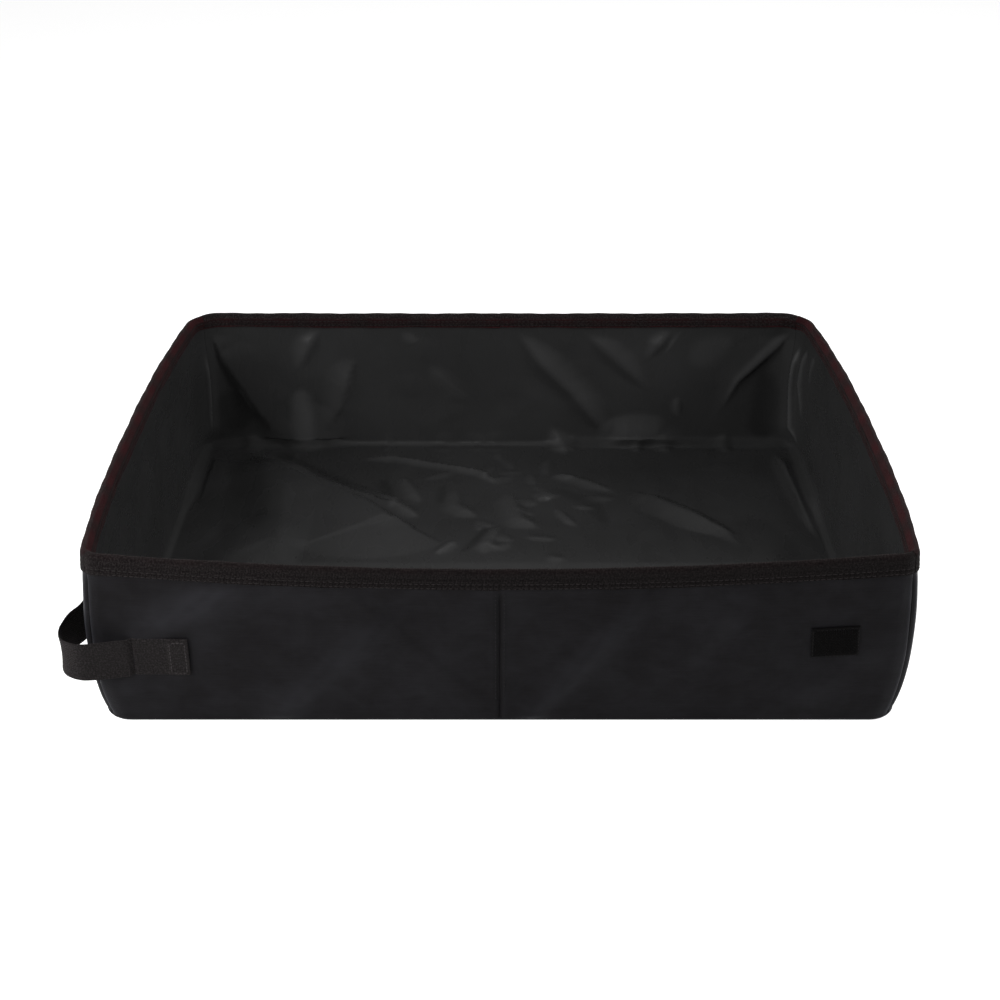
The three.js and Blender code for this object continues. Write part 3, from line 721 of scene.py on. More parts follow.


# Lining

# Folds of the loose film: the points of the crest (with no height on the floor), the width on its two sides,
# the height, the shares of its length over which its two ends rise, and how much painted highlight lies on its
# broad side (painted shade below zero). Those with no height are only painted patches of highlight and of
# shade.
FILM_FOLDS = [
    # Rear wall
    (((8, 200, 110), (33, 200, 77), (59, 200, 52), (83, 200, 23), (86, 199, 6)), 10, 18, 5.0, 0.4, 0.25, 0.3),
    (((64, 200, 106), (101, 200, 74), (130, 200, 46)), 9, 14, 3.4, 0.4, 0.5, 0.2),
    (((141, 200, 112), (130, 200, 94), (116, 200, 75)), 12, 5, 3.8, 0.3, 0.5, 0.4),
    (((150, 200, 112), (132, 200, 84)), 3, 2, 1.0, 0.3, 0.4, 0.6),
    (((239, 198, 105), (215, 200, 82), (195, 200, 61), (178, 200, 25)), 24, 4, 4.0, 0.4, 0.6, 0.12),
    (((237, 198, 108), (214, 200, 85), (194, 200, 63), (176, 200, 24)), 7, 3, 1.0, 0.15, 0.6, 0.6),
    (((219, 200, 84), (217, 200, 6)), 18, 18, 0.0, 0.5, 0.2, -0.6),
    (((190, 200, 108), (150, 200, 70)), 20, 20, 0.0, 0.4, 0.5, 0.25),
    (((-178, 188), (-168, 194, 11), (-157, 194, 11), (-148, 188)), 14, 34, 9.0, 0.4, 0.4, 0.25),
    (((-164, 200, 58), (-163, 197, 24), (-160, 180)), 13, 13, 1.6, 0.25, 0.3, 0.55),
    (((-143, 200, 113), (-154, 200, 91), (-168, 200, 64)), 16, 4, 3.4, 0.12, 0.45, 0.35),
    (((-120, 200, 82), (-124, 200, 60), (-132, 200, 38), (-150, 200, 12)), 22, 4, 5.0, 0.35, 0.45, 0.2),
    (((-236, 199, 102), (-228, 199, 88), (-209, 200, 52), (-187, 200, 14)), 5, 30, 4.6, 0.3, 0.25, 0.0),
    (((-218, 200, 65), (-199, 200, 27)), 3, 3, 1.6, 0.4, 0.4, 0.7),
    (((-226, 200, 60), (-214, 200, 14)), 19, 19, 0.0, 0.4, 0.3, -0.5),
    (((80, 190), (103, 194, 10), (127, 195, 11), (172, 191)), 9, 23, 9.0, 0.3, 0.6, 0.22),
    (((40, 199, 22), (52, 193, 7), (56, 174)), 14, 9, 5.0, 0.5, 0.4, 0.4),
    (((-81, 200, 105), (-65, 200, 94)), 9, 5, 1.4, 0.4, 0.4, 0.5),
    (((-62, 200, 77), (-20, 200, 41)), 14, 8, 1.6, 0.4, 0.4, 0.25),
    (((145, 200, 50), (148, 200, 27)), 7, 4, 1.4, 0.4, 0.4, 0.4),
    (((-110, 200, 58), (40, 200, 64)), 44, 44, 0.0, 0.4, 0.4, -0.15),
    # Floor
    (((-120, 168), (-88, 169), (-62, 160), (-32, 150), (-16, 143), (5, 115)), 10, 3, 3.4, 0.2, 0.25, 0.45),
    (((-194, 173), (-168, 134), (-133, 115), (-99, 80), (-74, 45)), 84, 7, 7.2, 0.25, 0.12, 0.15),
    (((-188, 178), (-120, 118), (-80, 82)), 4, 12, 0.0, 0.2, 0.3, -0.5),
    (((-134, 129), (-84, 94), (-59, 61)), 9, 6, 2.2, 0.4, 0.2, 0.3),
    (((-80, 136), (-64, 97), (-62, 84)), 12, 8, 2.6, 0.3, 0.4, 0.3),
    (((-92, 132), (-84, 98)), 13, 10, 0.0, 0.3, 0.3, -0.5),
    (((-35, 115), (-34, 84), (-15, 64)), 14, 8, 2.6, 0.3, 0.3, 0.2),
    (((-44, 122), (-46, 84)), 8, 7, 0.0, 0.3, 0.3, -0.4),
    (((6, 111), (15, 64), (33, 45)), 18, 8, 3.0, 0.3, 0.3, 0.25),
    (((0, 51), (-13, 2)), 12, 8, 2.4, 0.3, 0.3, 0.35),
    (((-8, 52), (-30, 2)), 3, 7, 0.0, 0.3, 0.3, -0.5),
    (((-31, 26), (-47, 2)), 6, 5, 2.4, 0.3, 0.3, 0.6),
    (((35, 136), (58, 132), (97, 104)), 12, 5, 2.6, 0.3, 0.4, 0.35),
    (((36, 118), (70, 90), (84, 40)), 10, 10, 0.0, 0.3, 0.4, -0.35),
    (((94, 106), (119, 97), (142, 74), (169, 45), (182, 14)), 24, 7, 4.6, 0.3, 0.5, 0.15),
    (((40, 84), (60, 45)), 7, 5, 1.8, 0.4, 0.4, 0.4),
    (((-222, 190, 6), (-168, 136), (-170, 97), (-164, 26), (-158, -60)), 46, 24, 7.5, 0.25, 0.4, -0.2),
    (((-205, 168), (-196, 100), (-176, 20)), 22, 22, 0.0, 0.2, 0.5, -0.4),
    (((226, 182), (231, 126), (239, 15)), 9, 12, 4.2, 0.2, 0.5, 0.4),
    (((-120, -10), (-70, -80)), 20, 12, 2.4, 0.5, 0.5, 0.0),
    (((60, -30), (130, -90)), 24, 12, 2.6, 0.5, 0.5, 0.0),
    (((-190, -120), (-150, -60)), 14, 18, 2.0, 0.5, 0.5, 0.0),
    (((-232, -12), (232, -12)), 70, 76, 3.2, 0.08, 0.08, 0.0),
    # Side walls and upright corners
    (((-241, 188, 94), (-240, 188, 55), (-239, 186, 12)), 5, 4, 2.6, 0.3, 0.5, 0.6),
    (((-247, 150, 96), (-246, 120, 40)), 26, 22, 1.6, 0.5, 0.5, 0.0),
    (((-248, 20, 90), (-246, -50, 30)), 26, 26, 1.4, 0.5, 0.5, 0.0),
    (((242, 186, 100), (240, 187, 60), (240, 184, 25), (240, 172, 7)), 6, 5, 4.0, 0.2, 0.3, 0.9),
    (((244, 172, 102), (242, 176, 66), (242, 170, 30)), 6, 5, 3.2, 0.2, 0.5, 0.7),
    (((247, 150, 104), (245, 160, 70)), 7, 6, 2.2, 0.3, 0.6, 0.5),
    (((248, 60, 90), (246, 0, 30)), 26, 26, 1.4, 0.5, 0.5, 0.0),
    (((246, 110, 60), (243, 130, 12)), 20, 14, 1.8, 0.5, 0.4, 0.0),
    # Front wall
    (((-20, -203, 96), (-60, -200, 30)), 16, 12, 2.2, 0.4, 0.4, 0.2),
    (((90, -203, 96), (140, -199, 30)), 16, 12, 2.4, 0.4, 0.4, 0.2),
    (((-150, -203, 92), (-184, -199, 24)), 14, 10, 2.4, 0.4, 0.4, 0.2),
    (((242, -188, 96), (240, -184, 10)), 8, 7, 3.0, 0.3, 0.4, 0.2),
    (((-242, -188, 96), (-240, -184, 10)), 8, 7, 3.0, 0.3, 0.4, 0.2),
]
FILM_LEVEL = 5
FOLD_LIMIT = 9.5
FOLD_DEPTH = 26.0
FOLD_ENDS = (0.4, 0.4)
CREST_SHAPE = 1.15
# Small creases: how far they lie from the middle, and how many are on the floor, in its most used part, along
# the foot of each long wall, on each long wall and on each end
CREASE_X, CREASE_Y, WALL_CREASE_LEVELS = (-215, 215), (-170, 170), (20, 90)
FLOOR_CREASES, USED_CREASES, FOOT_CREASES, LONG_CREASES, END_CREASES = 46, 26, 13, 16, 12


def scattered_folds(seed):
    """Small random creases over the floor and the walls, the same on every run."""
    chance = np.random.RandomState(seed)
    folds = []

    def add(middle, half, widths, heights, painted_light=0.0):
        line = [tuple(middle[k] + sign * half[k] for k in range(3)) for sign in (-1, 1)]
        sizes = [chance.uniform(*span) for span in (widths, widths, heights)]
        folds.append((line, *sizes, *FOLD_ENDS, painted_light))

    def add_flat(lengths, place, *sizes):
        angle, length = chance.uniform(0, math.pi), chance.uniform(*lengths)
        add((*place(), FLOOR_TOP), (length * math.cos(angle), length * math.sin(angle), 0), *sizes)

    for _ in range(FLOOR_CREASES):
        add_flat((15, 50), lambda: (chance.uniform(*CREASE_X), chance.uniform(*CREASE_Y)), (8, 20), (0.2, 0.7))
    for _ in range(USED_CREASES):
        # Creases in the most used part get a little painted highlight.
        add_flat((8, 20), lambda: (chance.normal(12, 40), chance.normal(95, 48)), (4, 9), (0.6, 1.6), 0.2)
    for side in (-1, 1):
        for _ in range(FOOT_CREASES):
            x, width = chance.uniform(*CREASE_X), chance.uniform(5, 11)
            bend = x + chance.uniform(-6, 6)
            line = ((x, side * 197, 18), (bend, side * 193, 7), (x, side * 176, FLOOR_TOP))
            folds.append((line, width, width, chance.uniform(0.8, 2.2), *FOLD_ENDS, 0.0))
        for _ in range(LONG_CREASES):
            x, away = chance.uniform(-220, 220), side * (HALF_WIDTH - STACK + 3)
            middle = (x, away, chance.uniform(*WALL_CREASE_LEVELS))
            add(middle, (chance.uniform(-30, 30), 0, chance.uniform(8, 26)), (10, 22), (0.3, 0.9))
        for _ in range(END_CREASES):
            away, y = side * (HALF_LENGTH - STACK + 3), chance.uniform(*CREASE_Y)
            middle = (away, y, chance.uniform(*WALL_CREASE_LEVELS))
            add(middle, (0, chance.uniform(-30, 30), chance.uniform(8, 26)), (12, 26), (0.3, 0.8))
    return folds


ALL_FOLDS = [
    (np.array([(*point, FILM_LEVEL)[:3] for point in line], float), *sizes)
    for line, *sizes in FILM_FOLDS + scattered_folds(11)
]


def fold_height(points, inward, fold):
    """Height of one fold at each point, and the painted highlight on it (painted shade below zero). Its crest
    is a line of stretches, and its sides are flat.
    """
    line, left_width, right_width, height, rise_share, fall_share, painted_light = fold
    walked = walk(line)
    best, shade = np.zeros((2, len(points)))
    for k, length in enumerate(np.diff(walked)):
        run = (line[k + 1] - line[k]) / length
        off = points - line[k]
        along = np.clip(off @ run, 0, length)
        away = off - along[:, None] * run
        through = np.einsum("ij,ij->i", away, inward)
        away = away - through[:, None] * inward
        distance = np.sqrt((away ** 2).sum(1) + 2.5)
        side = np.einsum("ij,ij->i", away, np.cross(run, inward))
        share = (walked[k] + along) / walked[-1]
        swell = smoothstep(0, rise_share, share) * smoothstep(0, fall_share, 1 - share)
        width = np.where(side > 0, left_width, right_width)
        slope = np.clip(1 - distance / (width * (0.3 + 0.7 * swell)), 0, 1)
        near = smoothstep(FOLD_DEPTH, FOLD_DEPTH / 2, np.abs(through))
        best = np.maximum(best, height * swell * (slope * near) ** CREST_SHAPE)
        broad = width >= max(left_width, right_width)
        # The painted light covers the fold's broad side and a thin line on its narrow side by the crest.
        mark = np.where(broad, smoothstep(0, 0.75, slope), smoothstep(3.5, 1.6, distance)) * near
        shade = np.maximum(shade, mark * smoothstep(0, 0.6, swell))
    return best, painted_light * shade


def crease_height(points, inward):
    """Height of the film's creases along the way into the box at each point, and their painted highlight and
    shade.
    """
    shape = points.shape[:-1]
    points, inward = points.reshape(-1, 3), inward.reshape(-1, 3)
    total, painted_light = np.zeros((2, len(points)))
    for fold in ALL_FOLDS:
        line, reach = fold[0], max(fold[1:3]) + 8
        near = np.flatnonzero(((points > line.min(0) - reach) & (points < line.max(0) + reach)).all(1))
        if len(near):
            height, shade = fold_height(points[near], inward[near], fold)
            total[near] += height
            painted_light[near] += shade
    return (FOLD_LIMIT * np.tanh(total / FOLD_LIMIT)).reshape(shape), np.clip(painted_light, -1, 1).reshape(shape)


def corner_slack(wall, at, turn, z, slack=5.5, radius=12.0):
    """The film bridges each upright corner instead of following it."""
    from_corner = np.where(turn > 0, (CORNER - turn) * radius,
                           CORNER * radius + (1 - np.abs(at)) * (wall.reach - BOTTOM_RADIUS))
    window = smoothstep(3, 26, z) * smoothstep(RIM_HEIGHT - 12, RIM_HEIGHT - 50, z)
    return slack * bell(from_corner, 13) * window


def rim_pinch(fall):
    """How far the film and the tape's inner leg are pressed together over the board's top."""
    return 1.8 * smoothstep(5.0, 1.5, fall)


def tightness(wall, length):
    place = length * (wall.hand if wall.long else 1)
    low, high = wall.tight
    return smoothstep(low - 25, low + 15, place) * smoothstep(high + 25, high - 15, place)


def fillet_of(wall, turn, length):
    """Radius at the film's foot, small where the film sits tight in the corner and larger where it is loose."""
    return 4.5 + wall.loose * (1 - tightness(wall, length)) * np.cos(2 * turn)


def path_to(wall, turn, length, z):
    """Length over the film from the floor's flat part up to a height on the wall."""
    fillet = fillet_of(wall, turn, length)
    return BOTTOM_RADIUS - STACK - fillet + fillet * math.pi / 2 + z - FLOOR_TOP - fillet


def unfolded(wall, length, path):
    """The place on the film laid out flat, so that its look runs on from the floor up the wall."""
    away = wall.out - BOTTOM_RADIUS + path
    return pair_up(length * wall.hand, wall.side * away) if wall.long else pair_up(wall.hand * away, length)


def foot_profile(wall, turn, length, share):
    """Distance from the wall and height of the film's foot, its lean, the lean of its folds, and the path."""
    fillet = fillet_of(wall, turn, length)
    flat, arc = BOTTOM_RADIUS - STACK - fillet, fillet * math.pi / 2
    path = share * (flat + arc + (wall.foot_top - FLOOR_TOP - fillet))
    angle = np.clip((path - flat) / fillet, 0, math.pi / 2)
    inset = np.where(path < flat, flat - path, 0) + fillet * (1 - np.sin(angle))
    height = FLOOR_TOP + fillet * (1 - np.cos(angle)) + np.maximum(0, path - flat - arc)
    return inset, height, angle, np.clip(path / (flat + arc), 0, 1) * math.pi / 2, path


def lining_wall_skins(wall, at, turn, z):
    base, out = wall_point(wall, at, turn, z, STACK, 0)
    fall = rim_top(wall, at) - z
    held = smoothstep(INNER_LEG + 1, INNER_LEG + 14, fall)
    creases, painted_light = crease_height(base, -out)
    raised = held * (creases + corner_slack(wall, at, turn, z)) - rim_pinch(fall)
    face, back = [wall_point(wall, at, turn, z, depth + raised, 0)[0] for depth in (STACK, STACK - LINER)]
    return face, back, painted_light * held


def lining_foot_skins(wall, at, turn, length, share):
    """Two skins of the film's foot, the place of each point on the flat film, its painted highlight and shade,
    and its dullness.
    """
    inset, z, angle, lean, path = foot_profile(wall, turn, length, share)
    base, out = wall_point(wall, at, turn, z, STACK + inset, 0)
    angle, lean = [np.broadcast_to(value, base.shape[:-1]) for value in (angle, lean)]
    normal, way = [
        -out * np.sin(turned)[..., None] + np.array([0, 0, 1.0]) * np.cos(turned)[..., None]
        for turned in (angle, lean)
    ]
    creases, painted_light = crease_height(base, way)
    face = base + way * (creases + corner_slack(wall, at, turn, z) * np.sin(lean))[..., None]
    dull = (1 - tightness(wall, length) * wall.hold) * np.sin(2 * angle)
    # The loose foot is also painted darker: painted shade along the foot.
    return face, face - normal * LINER, unfolded(wall, length, path), painted_light - 0.3 * dull, dull


def film_piece(name, face, back, lay, painted_light, dull=None):
    looks = {"painted_light": painted_light} if dull is None else {"painted_light": painted_light, "dull": dull}
    piece = add_sheet(name, face, back, LINING_LOOK, lay, looks)
    return piece


def make_lining_walls():
    for wall in WALLS.values():
        at, turn, length = wall_columns(wall, FILM_STEP, FILM_TURNS)[..., None]
        z = wall_rows(wall, at, FILM_ROWS)
        face, back, painted_light = lining_wall_skins(wall, at, turn, z)
        lay = unfolded(wall, length, path_to(wall, turn, length, z))
        piece = film_piece(f"lining_{wall.body}", face, back, lay, painted_light)
        settle_on(piece, wall, "liner")

        at, turn, length = foot_columns(wall, FILM_STEP, FILM_TURNS)[..., None]
        skins = lining_foot_skins(wall, at, turn, length, np.linspace(0, 1, FILM_FOOT_ROWS))
        piece = film_piece(f"lining_foot_{wall.body}", *skins)
        blend_foot(piece)


def lining_floor_piece(name, xs):
    ys = np.linspace(-FLAT_Y, FLAT_Y, FILM_FLOOR_ROWS)
    base = np.stack(np.broadcast_arrays(xs[:, None], ys, FLOOR_TOP), -1)
    up = 0 * base + (0, 0, 1)
    creases, painted_light = crease_height(base, up)
    face = base + up * creases[..., None]
    piece = film_piece(name, face, face - up * LINER, base[..., :2], painted_light)
    return piece


def make_lining_floor():
    outer = np.linspace(FOLD_HALF, FLAT_X, FILM_FLOOR_COLUMNS)
    for half, xs in (("right", outer), ("left", -outer[::-1])):
        piece = lining_floor_piece(f"lining_floor_{half}", xs)
        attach(piece, f"floor_{half}")
        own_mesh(piece)
        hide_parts(f"floor_liner_{half}")
    xs = np.linspace(-FOLD_HALF, FOLD_HALF, FILM_MIDDLE_COLUMNS)
    blend_centre(lining_floor_piece("lining_floor_middle", xs))
    share = np.linspace(0, 1, FILM_FOOT_ROWS)
    for name in ("front", "rear"):
        skins = centre_strip(name, xs, lambda wall, x: lining_foot_skins(wall, x / FLAT_X, 0, x, share))
        piece = film_piece(f"lining_foot_{name}_middle", *skins)
        blend_centre(piece)


# Webbing over the rim, and stitches

# How much the tape's edge thins, the groove beside its outer stitches, and how deep the stitches sit in it
TAPE_HEM = (0.55, 0.15)
OUTER_GROOVE = 6.4
STITCH_SEAT = 0.2


def tape_rows():
    """Fall below the rim and depth of the tape's two skins, the share of the bulge, and the way across."""
    outer_leg = OUTER_LEG - np.array([0, 0.25, 0.8, 1.8, 2.8, 3.8, 4.8, 5.8, 6.8, 7.8, 8.8, 9.8, 10.8])
    inner_leg = INNER_LEG - np.array([7.5, 6.7, 5.5, 4.3, 3.1, 1.9, 0.8, 0.25, 0])
    turns = np.linspace(math.pi, 0, CROWN_TURNS)
    middle = STACK / 2
    bulges = np.concatenate([np.ones(len(outer_leg)), (1 - np.cos(turns)) / 2, np.zeros(len(inner_leg))])
    skins = []
    for thick in (TAPE, 0.0):
        crown = CROWN - (TAPE - thick)
        falls = np.concatenate([outer_leg, CROWN - crown * np.sin(turns), inner_leg])
        depths = np.concatenate([
            np.full(len(outer_leg), -TAPE_GAP - thick),
            middle + (middle + TAPE_GAP + thick) * np.cos(turns),
            np.full(len(inner_leg), STACK + TAPE_GAP + thick),
        ])
        skins.append((falls, depths - rim_pinch(falls) * (1 - bulges)))
    outer, inner = skins
    outer[1][:2] += TAPE_HEM
    outer[1][-2:] -= TAPE_HEM[::-1]
    return outer, inner, bulges, walk(np.column_stack(outer))


def tape_waves(length, hand):
    """Small unevenness along the tape: of its edge, and of its thickness."""
    edge = 0.30 * np.sin(length / 23 + hand) + 0.16 * np.sin(length / 7.3 + 2 * hand)
    return edge, 0.14 * np.sin(length / 11 + 0.7 * hand) + 0.09 * np.sin(length / 3.1)


def red_share(name, falls, inside):
    """Where the tape's dark red yarn shows: along its inner leg, and on the ends over the crown too."""
    if name == "end":
        return np.where(inside, 1 - 0.5 * bell(falls - 5.5, 1.6), 0.35 * smoothstep(3.5, 0.5, falls))
    crown = {"front": 0.05, "rear": 0.2}[name] * bell(falls, 3)
    return np.where(inside, bell(falls - INNER_LEG, 1.7) + 0.85 * bell(falls - 5.0, 1.3), crown)


def make_tapes():
    outer, inner, bulges, across = tape_rows()
    falls, depths = outer
    inside = depths > STACK / 2
    outside = np.where(inside, -1.0, 1.0)
    legs = np.maximum(0, (falls - CROWN) / (np.where(inside, INNER_LEG, OUTER_LEG) - CROWN))
    inner_seams, outer_seams = [
        sum(bell(falls - place, width) for place in places)
        for places, width in ((INNER_STITCHES, 0.9), (OUTER_STITCHES, 0.8))
    ]
    sewn = np.where(inside, inner_seams, outer_seams + 0.5 * bell(falls - OUTER_GROOVE, 0.7))
    for wall in WALLS.values():
        columns = wall_columns(wall, TAPE_STEP, TAPE_TURNS)
        at, turn, length = columns[..., None]
        wave, puff = tape_waves(length, wall.hand)
        pull = 0.7 * sewn * (0.7 + 0.3 * np.sin(length * 2 * math.pi / RIM_THREAD[0]))
        low = rim_top(wall, at) + wave * legs
        face, _ = wall_point(
            wall, at, turn, low - falls + (1 - legs) * puff, depths + outside * (pull - puff), bulges
        )
        back, _ = wall_point(wall, at, turn, low - inner[0], inner[1], bulges)
        patchy = 0.65 + 0.35 * np.sin(length / 17 + 1.1) * np.sin(length / 5 + 0.4)
        # Painted highlight: the rear tape and the ends lighter, the front tape lighter towards its lit left
        # end, and the outer legs of the rear and the ends half as much.
        painted_highlight = {"front": 0.08 + 0.24 * smoothstep(40, 230, -wall.hand * length), "rear": 0.9, "end": 0.45}
        looks = {
            "edge": red_share(wall.name, falls, inside) * patchy,
            # Painted shade along the stitch grooves.
            "painted_shading": 0.9 * np.clip(sewn, 0, 1) + 0 * length,
            "painted_highlight": (painted_highlight[wall.name] + 0 * length) * np.where(inside | (wall.name == "front"), 1.0, 0.5),
        }
        lay = pair_up(length * wall.hand, across)
        piece = add_sheet(f"tape_{wall.body}", face, back, TAPE_LOOK, lay, looks)
        settle_on(piece, wall, "binding")
        at, turn, _ = columns
        rows = []
        for fall in OUTER_STITCHES:
            rows.append(wall_point(wall, at, turn, rim_top(wall, at) - fall, STITCH_SEAT - TAPE_GAP - TAPE))
        for fall in INNER_STITCHES:
            depth = STACK + TAPE_GAP + TAPE - STITCH_SEAT - rim_pinch(fall)
            line, out = wall_point(wall, at, turn, rim_top(wall, at) - fall, depth, 0)
            rows.append((line, -out))
        stitches = add_stitches(f"stitches_{wall.body}", rows)
        settle_on(stitches, wall)


def add_stitches(name, rows, thread=RIM_THREAD, look=THREAD_LOOK):
    """Rows of thread stitches, each a small capsule that dips into the cloth at its ends."""
    pitch, length, width, height = thread
    stations = np.linspace(-0.5, 0.5, len(STITCH_SIZES))
    angles = np.arange(STITCH_SIDES) * 2 * math.pi / STITCH_SIDES
    points, faces, lay = [], [], []
    for line, normals in rows:
        walked = walk(line)
        for place in np.arange(pitch * 0.6, walked[-1] - pitch * 0.4, pitch):
            spots = place + stations * length
            centre, normal = [line_at(spots, walked, values) for values in (line, normals)]
            normal /= np.linalg.norm(normal, axis=1)[:, None]
            tangent = centre[-1] - centre[0]
            side = np.cross(tangent / np.linalg.norm(tangent), normal)
            centre = centre + normal * (STITCH_LIFT - STITCH_DIP * stations ** 2)[:, None]
            faces += tube_faces(len(points), len(STITCH_SIZES), STITCH_SIDES)
            for k, size in enumerate(STITCH_SIZES):
                for angle in angles:
                    offset = side[k] * math.cos(angle) * width / 2 + normal[k] * math.sin(angle) * height / 2
                    points.append(centre[k] + offset * size)
                    lay.append((spots[k], angle, 0))
    return add_mesh(name, np.array(points), faces, {"lay": lay}, look)


def make_seam_stitches():
    for name in ("front", "rear"):
        for half in HALVES:
            wall = WALLS[f"{name}_{half}"]
            z = np.linspace(wall.foot_top + 1, rim_top(wall, 0.0) - OUTER_LEG - 1, SEAM_POINTS)
            row = wall_point(wall, SEAM_ROW / FLAT_X, 0, z, SEAM_SEAT)
            settle_on(add_stitches(f"seam_stitches_{wall.body}", [row], SEAM_THREAD, DARK_THREAD_LOOK), wall)


# Strap and hook patch

def smooth_line(knots, step, spread, rounds):
    """Points along a line through knots, with its corners smoothed and its ends kept."""
    knots = np.array(knots)
    walked = walk(knots)
    places = np.linspace(0, walked[-1], int(walked[-1] / step))
    line = line_at(places, walked, knots)
    kernel = np.hanning(spread + 2)[1:-1]
    kernel /= kernel.sum()
    pad = spread // 2
    for _ in range(rounds):
        before = 2 * line[0] - line[pad:0:-1]
        after = 2 * line[-1] - line[-2:-pad - 2:-1]
        padded = np.concatenate([before, line, after])
        line = np.stack([np.convolve(padded[:, k], kernel, "valid") for k in range(3)], -1)
    return line


# Route of the strap: the heights of its middle at the wall, at the corner and at its hidden end, and its loop
STRAP_SEAT = -1.2
STRAP_LEVELS = (49.5, 51.5, 50.0)
STRAP_LOOP = ((-254.7, -210.7), (-265.9, -204.7), (-269.7, -192.7), (-267.8, -174.7))
STRAP_LEAVES, STRAP_RETURNS = (-236.7, -204.7), (-262.2, -163.4)
STRAP_HEM, HEM_THICK = 13, 0.9
HEM_ROWS = (1.6, 11.0)
HEM_SHARES = (0.08, 0.92)
# How the loose strap is hollow, waves, and lies in and rises beside its dent
STRAP_CUP, STRAP_WAVE, DENT_DEPTH, DENT_RISE = 0.9, 0.5, 1.1, 1.2


def strap_line(lift):
    front, corner, back = [level + lift for level in STRAP_LEVELS]
    flat = [on_wall("front_left", x, front, STRAP_SEAT)[0] for x in np.linspace(190, 222, 9)]
    around = [(*STRAP_LEAVES, (front + corner) / 2), *[(*place, corner) for place in STRAP_LOOP],
              (*STRAP_RETURNS, (corner + back) / 2)]
    end = [on_wall("end_left", y, back, STRAP_SEAT)[0] for y in np.linspace(-128, -108, 6)]
    return smooth_line(flat + [np.array(place) for place in around] + end, STRAP_STEP, 13, 2)


def make_strap():
    places = np.linspace(0, 1, STRAP_COLUMNS)
    lower, upper = [
        line_at(places, np.linspace(0, 1, len(line)), line)
        for line in (strap_line(-STRAP_WIDTH / 2), strap_line(STRAP_WIDTH / 2))
    ]
    normal = np.cross(np.gradient(lower + upper, axis=0), upper - lower)
    normal /= np.linalg.norm(normal, axis=1)[:, None]
    normal *= -np.sign(normal[0, 1])
    walked = walk((lower + upper) / 2)
    left = walked[-1] - walked
    across = np.array([0, 0.03, 0.08, 0.2, 0.35, 0.5, 0.65, 0.8, 0.92, 0.97, 1.0])
    edge = np.minimum(across, 1 - across) * STRAP_WIDTH
    half_thick = STRAP_THICK / 2 * np.sqrt(np.clip(edge / 0.8, 0.16, 1))
    out, along = normal[:, None, :], walked[:, None]
    grid = lower[:, None, :] * (1 - across)[:, None] + upper[:, None, :] * across[:, None]
    loose = smoothstep(28, 50, along) * smoothstep(22, 45, left[:, None])
    cup = (across - 0.5) ** 2 * 4 * STRAP_CUP - STRAP_CUP / 3
    wave = STRAP_WAVE * np.sin(along / 9) * (across - 0.3)
    past_dent = along - STRAP_DENT
    rise = DENT_RISE * smoothstep(0, 4, past_dent) * smoothstep(40, 15, past_dent)
    rise -= DENT_DEPTH * bell(past_dent, 1.2)
    grid = grid + out * (loose * (cup + wave) + rise)[..., None]
    hem = sum(smoothstep(STRAP_HEM, STRAP_HEM - 1.5, place) for place in (walked, left))
    face = grid + out * (half_thick + HEM_THICK * hem[:, None] * 2 * half_thick / STRAP_THICK)[..., None]
    back = grid - out * half_thick[:, None]
    piece = add_sheet("strap", face, back, STRAP_LOOK, pair_up(along, across * STRAP_WIDTH))

    def spot(place, share):
        low, high, way = [line_at(place, walked, line) for line in (lower, upper, normal)]
        lift = STRAP_THICK / 2 + HEM_THICK * np.interp(place, walked, hem) + 0.15
        return low * (1 - share) + high * share + way * lift, way

    rows = []
    for low, high in (HEM_ROWS, [walked[-1] - place for place in HEM_ROWS[::-1]]):
        rows += [[spot(fixed, share) for share in np.linspace(*HEM_SHARES, 12)] for fixed in (low, high)]
        rows += [[spot(place, fixed) for place in np.linspace(low, high, 10)] for fixed in HEM_SHARES]
    stitches = add_stitches("strap_stitches", [unzip(row) for row in rows], STRAP_THREAD, LIGHT_THREAD_LOOK)
    for part in (piece, stitches):
        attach(part, "front_left")
        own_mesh(part)
    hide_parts("carry_strap")


def on_patch(across, up, depth):
    """A place over the patch given by its shares across and up, and the way out of the wall there."""
    run, climb = across * PATCH_SIZE[0], up * PATCH_SIZE[1]
    cosine, sine = math.cos(PATCH_TILT), math.sin(PATCH_TILT)
    x = PATCH_PLACE[0] + run * cosine - climb * sine
    z = PATCH_PLACE[1] + run * sine + climb * cosine
    return on_wall("front_right", x, z, depth)


# One hook's rings: climb from the patch, lean and size. Then the depths of the patch's back, its hooks and its
# stitches under the cloth's face, and the line that the stitches follow.
HOOK_RINGS = ((0, 0, 0.17), (0.5, 0.0, 0.15), (0.8, 0.12, 0.15), (0.9, 0.34, 0.14), (0.7, 0.48, 0.10))
HOOK_SIDES, HOOK_COLUMNS, HOOK_ROWS = 5, 25, 16
PATCH_SEAT, HOOK_SEAT, PATCH_THREAD_SEAT = -0.3, -1.5, -1.6
PATCH_FRAME = ((-0.47, -0.45), (0.47, -0.45), (0.47, 0.45), (-0.47, 0.45), (-0.47, -0.45))


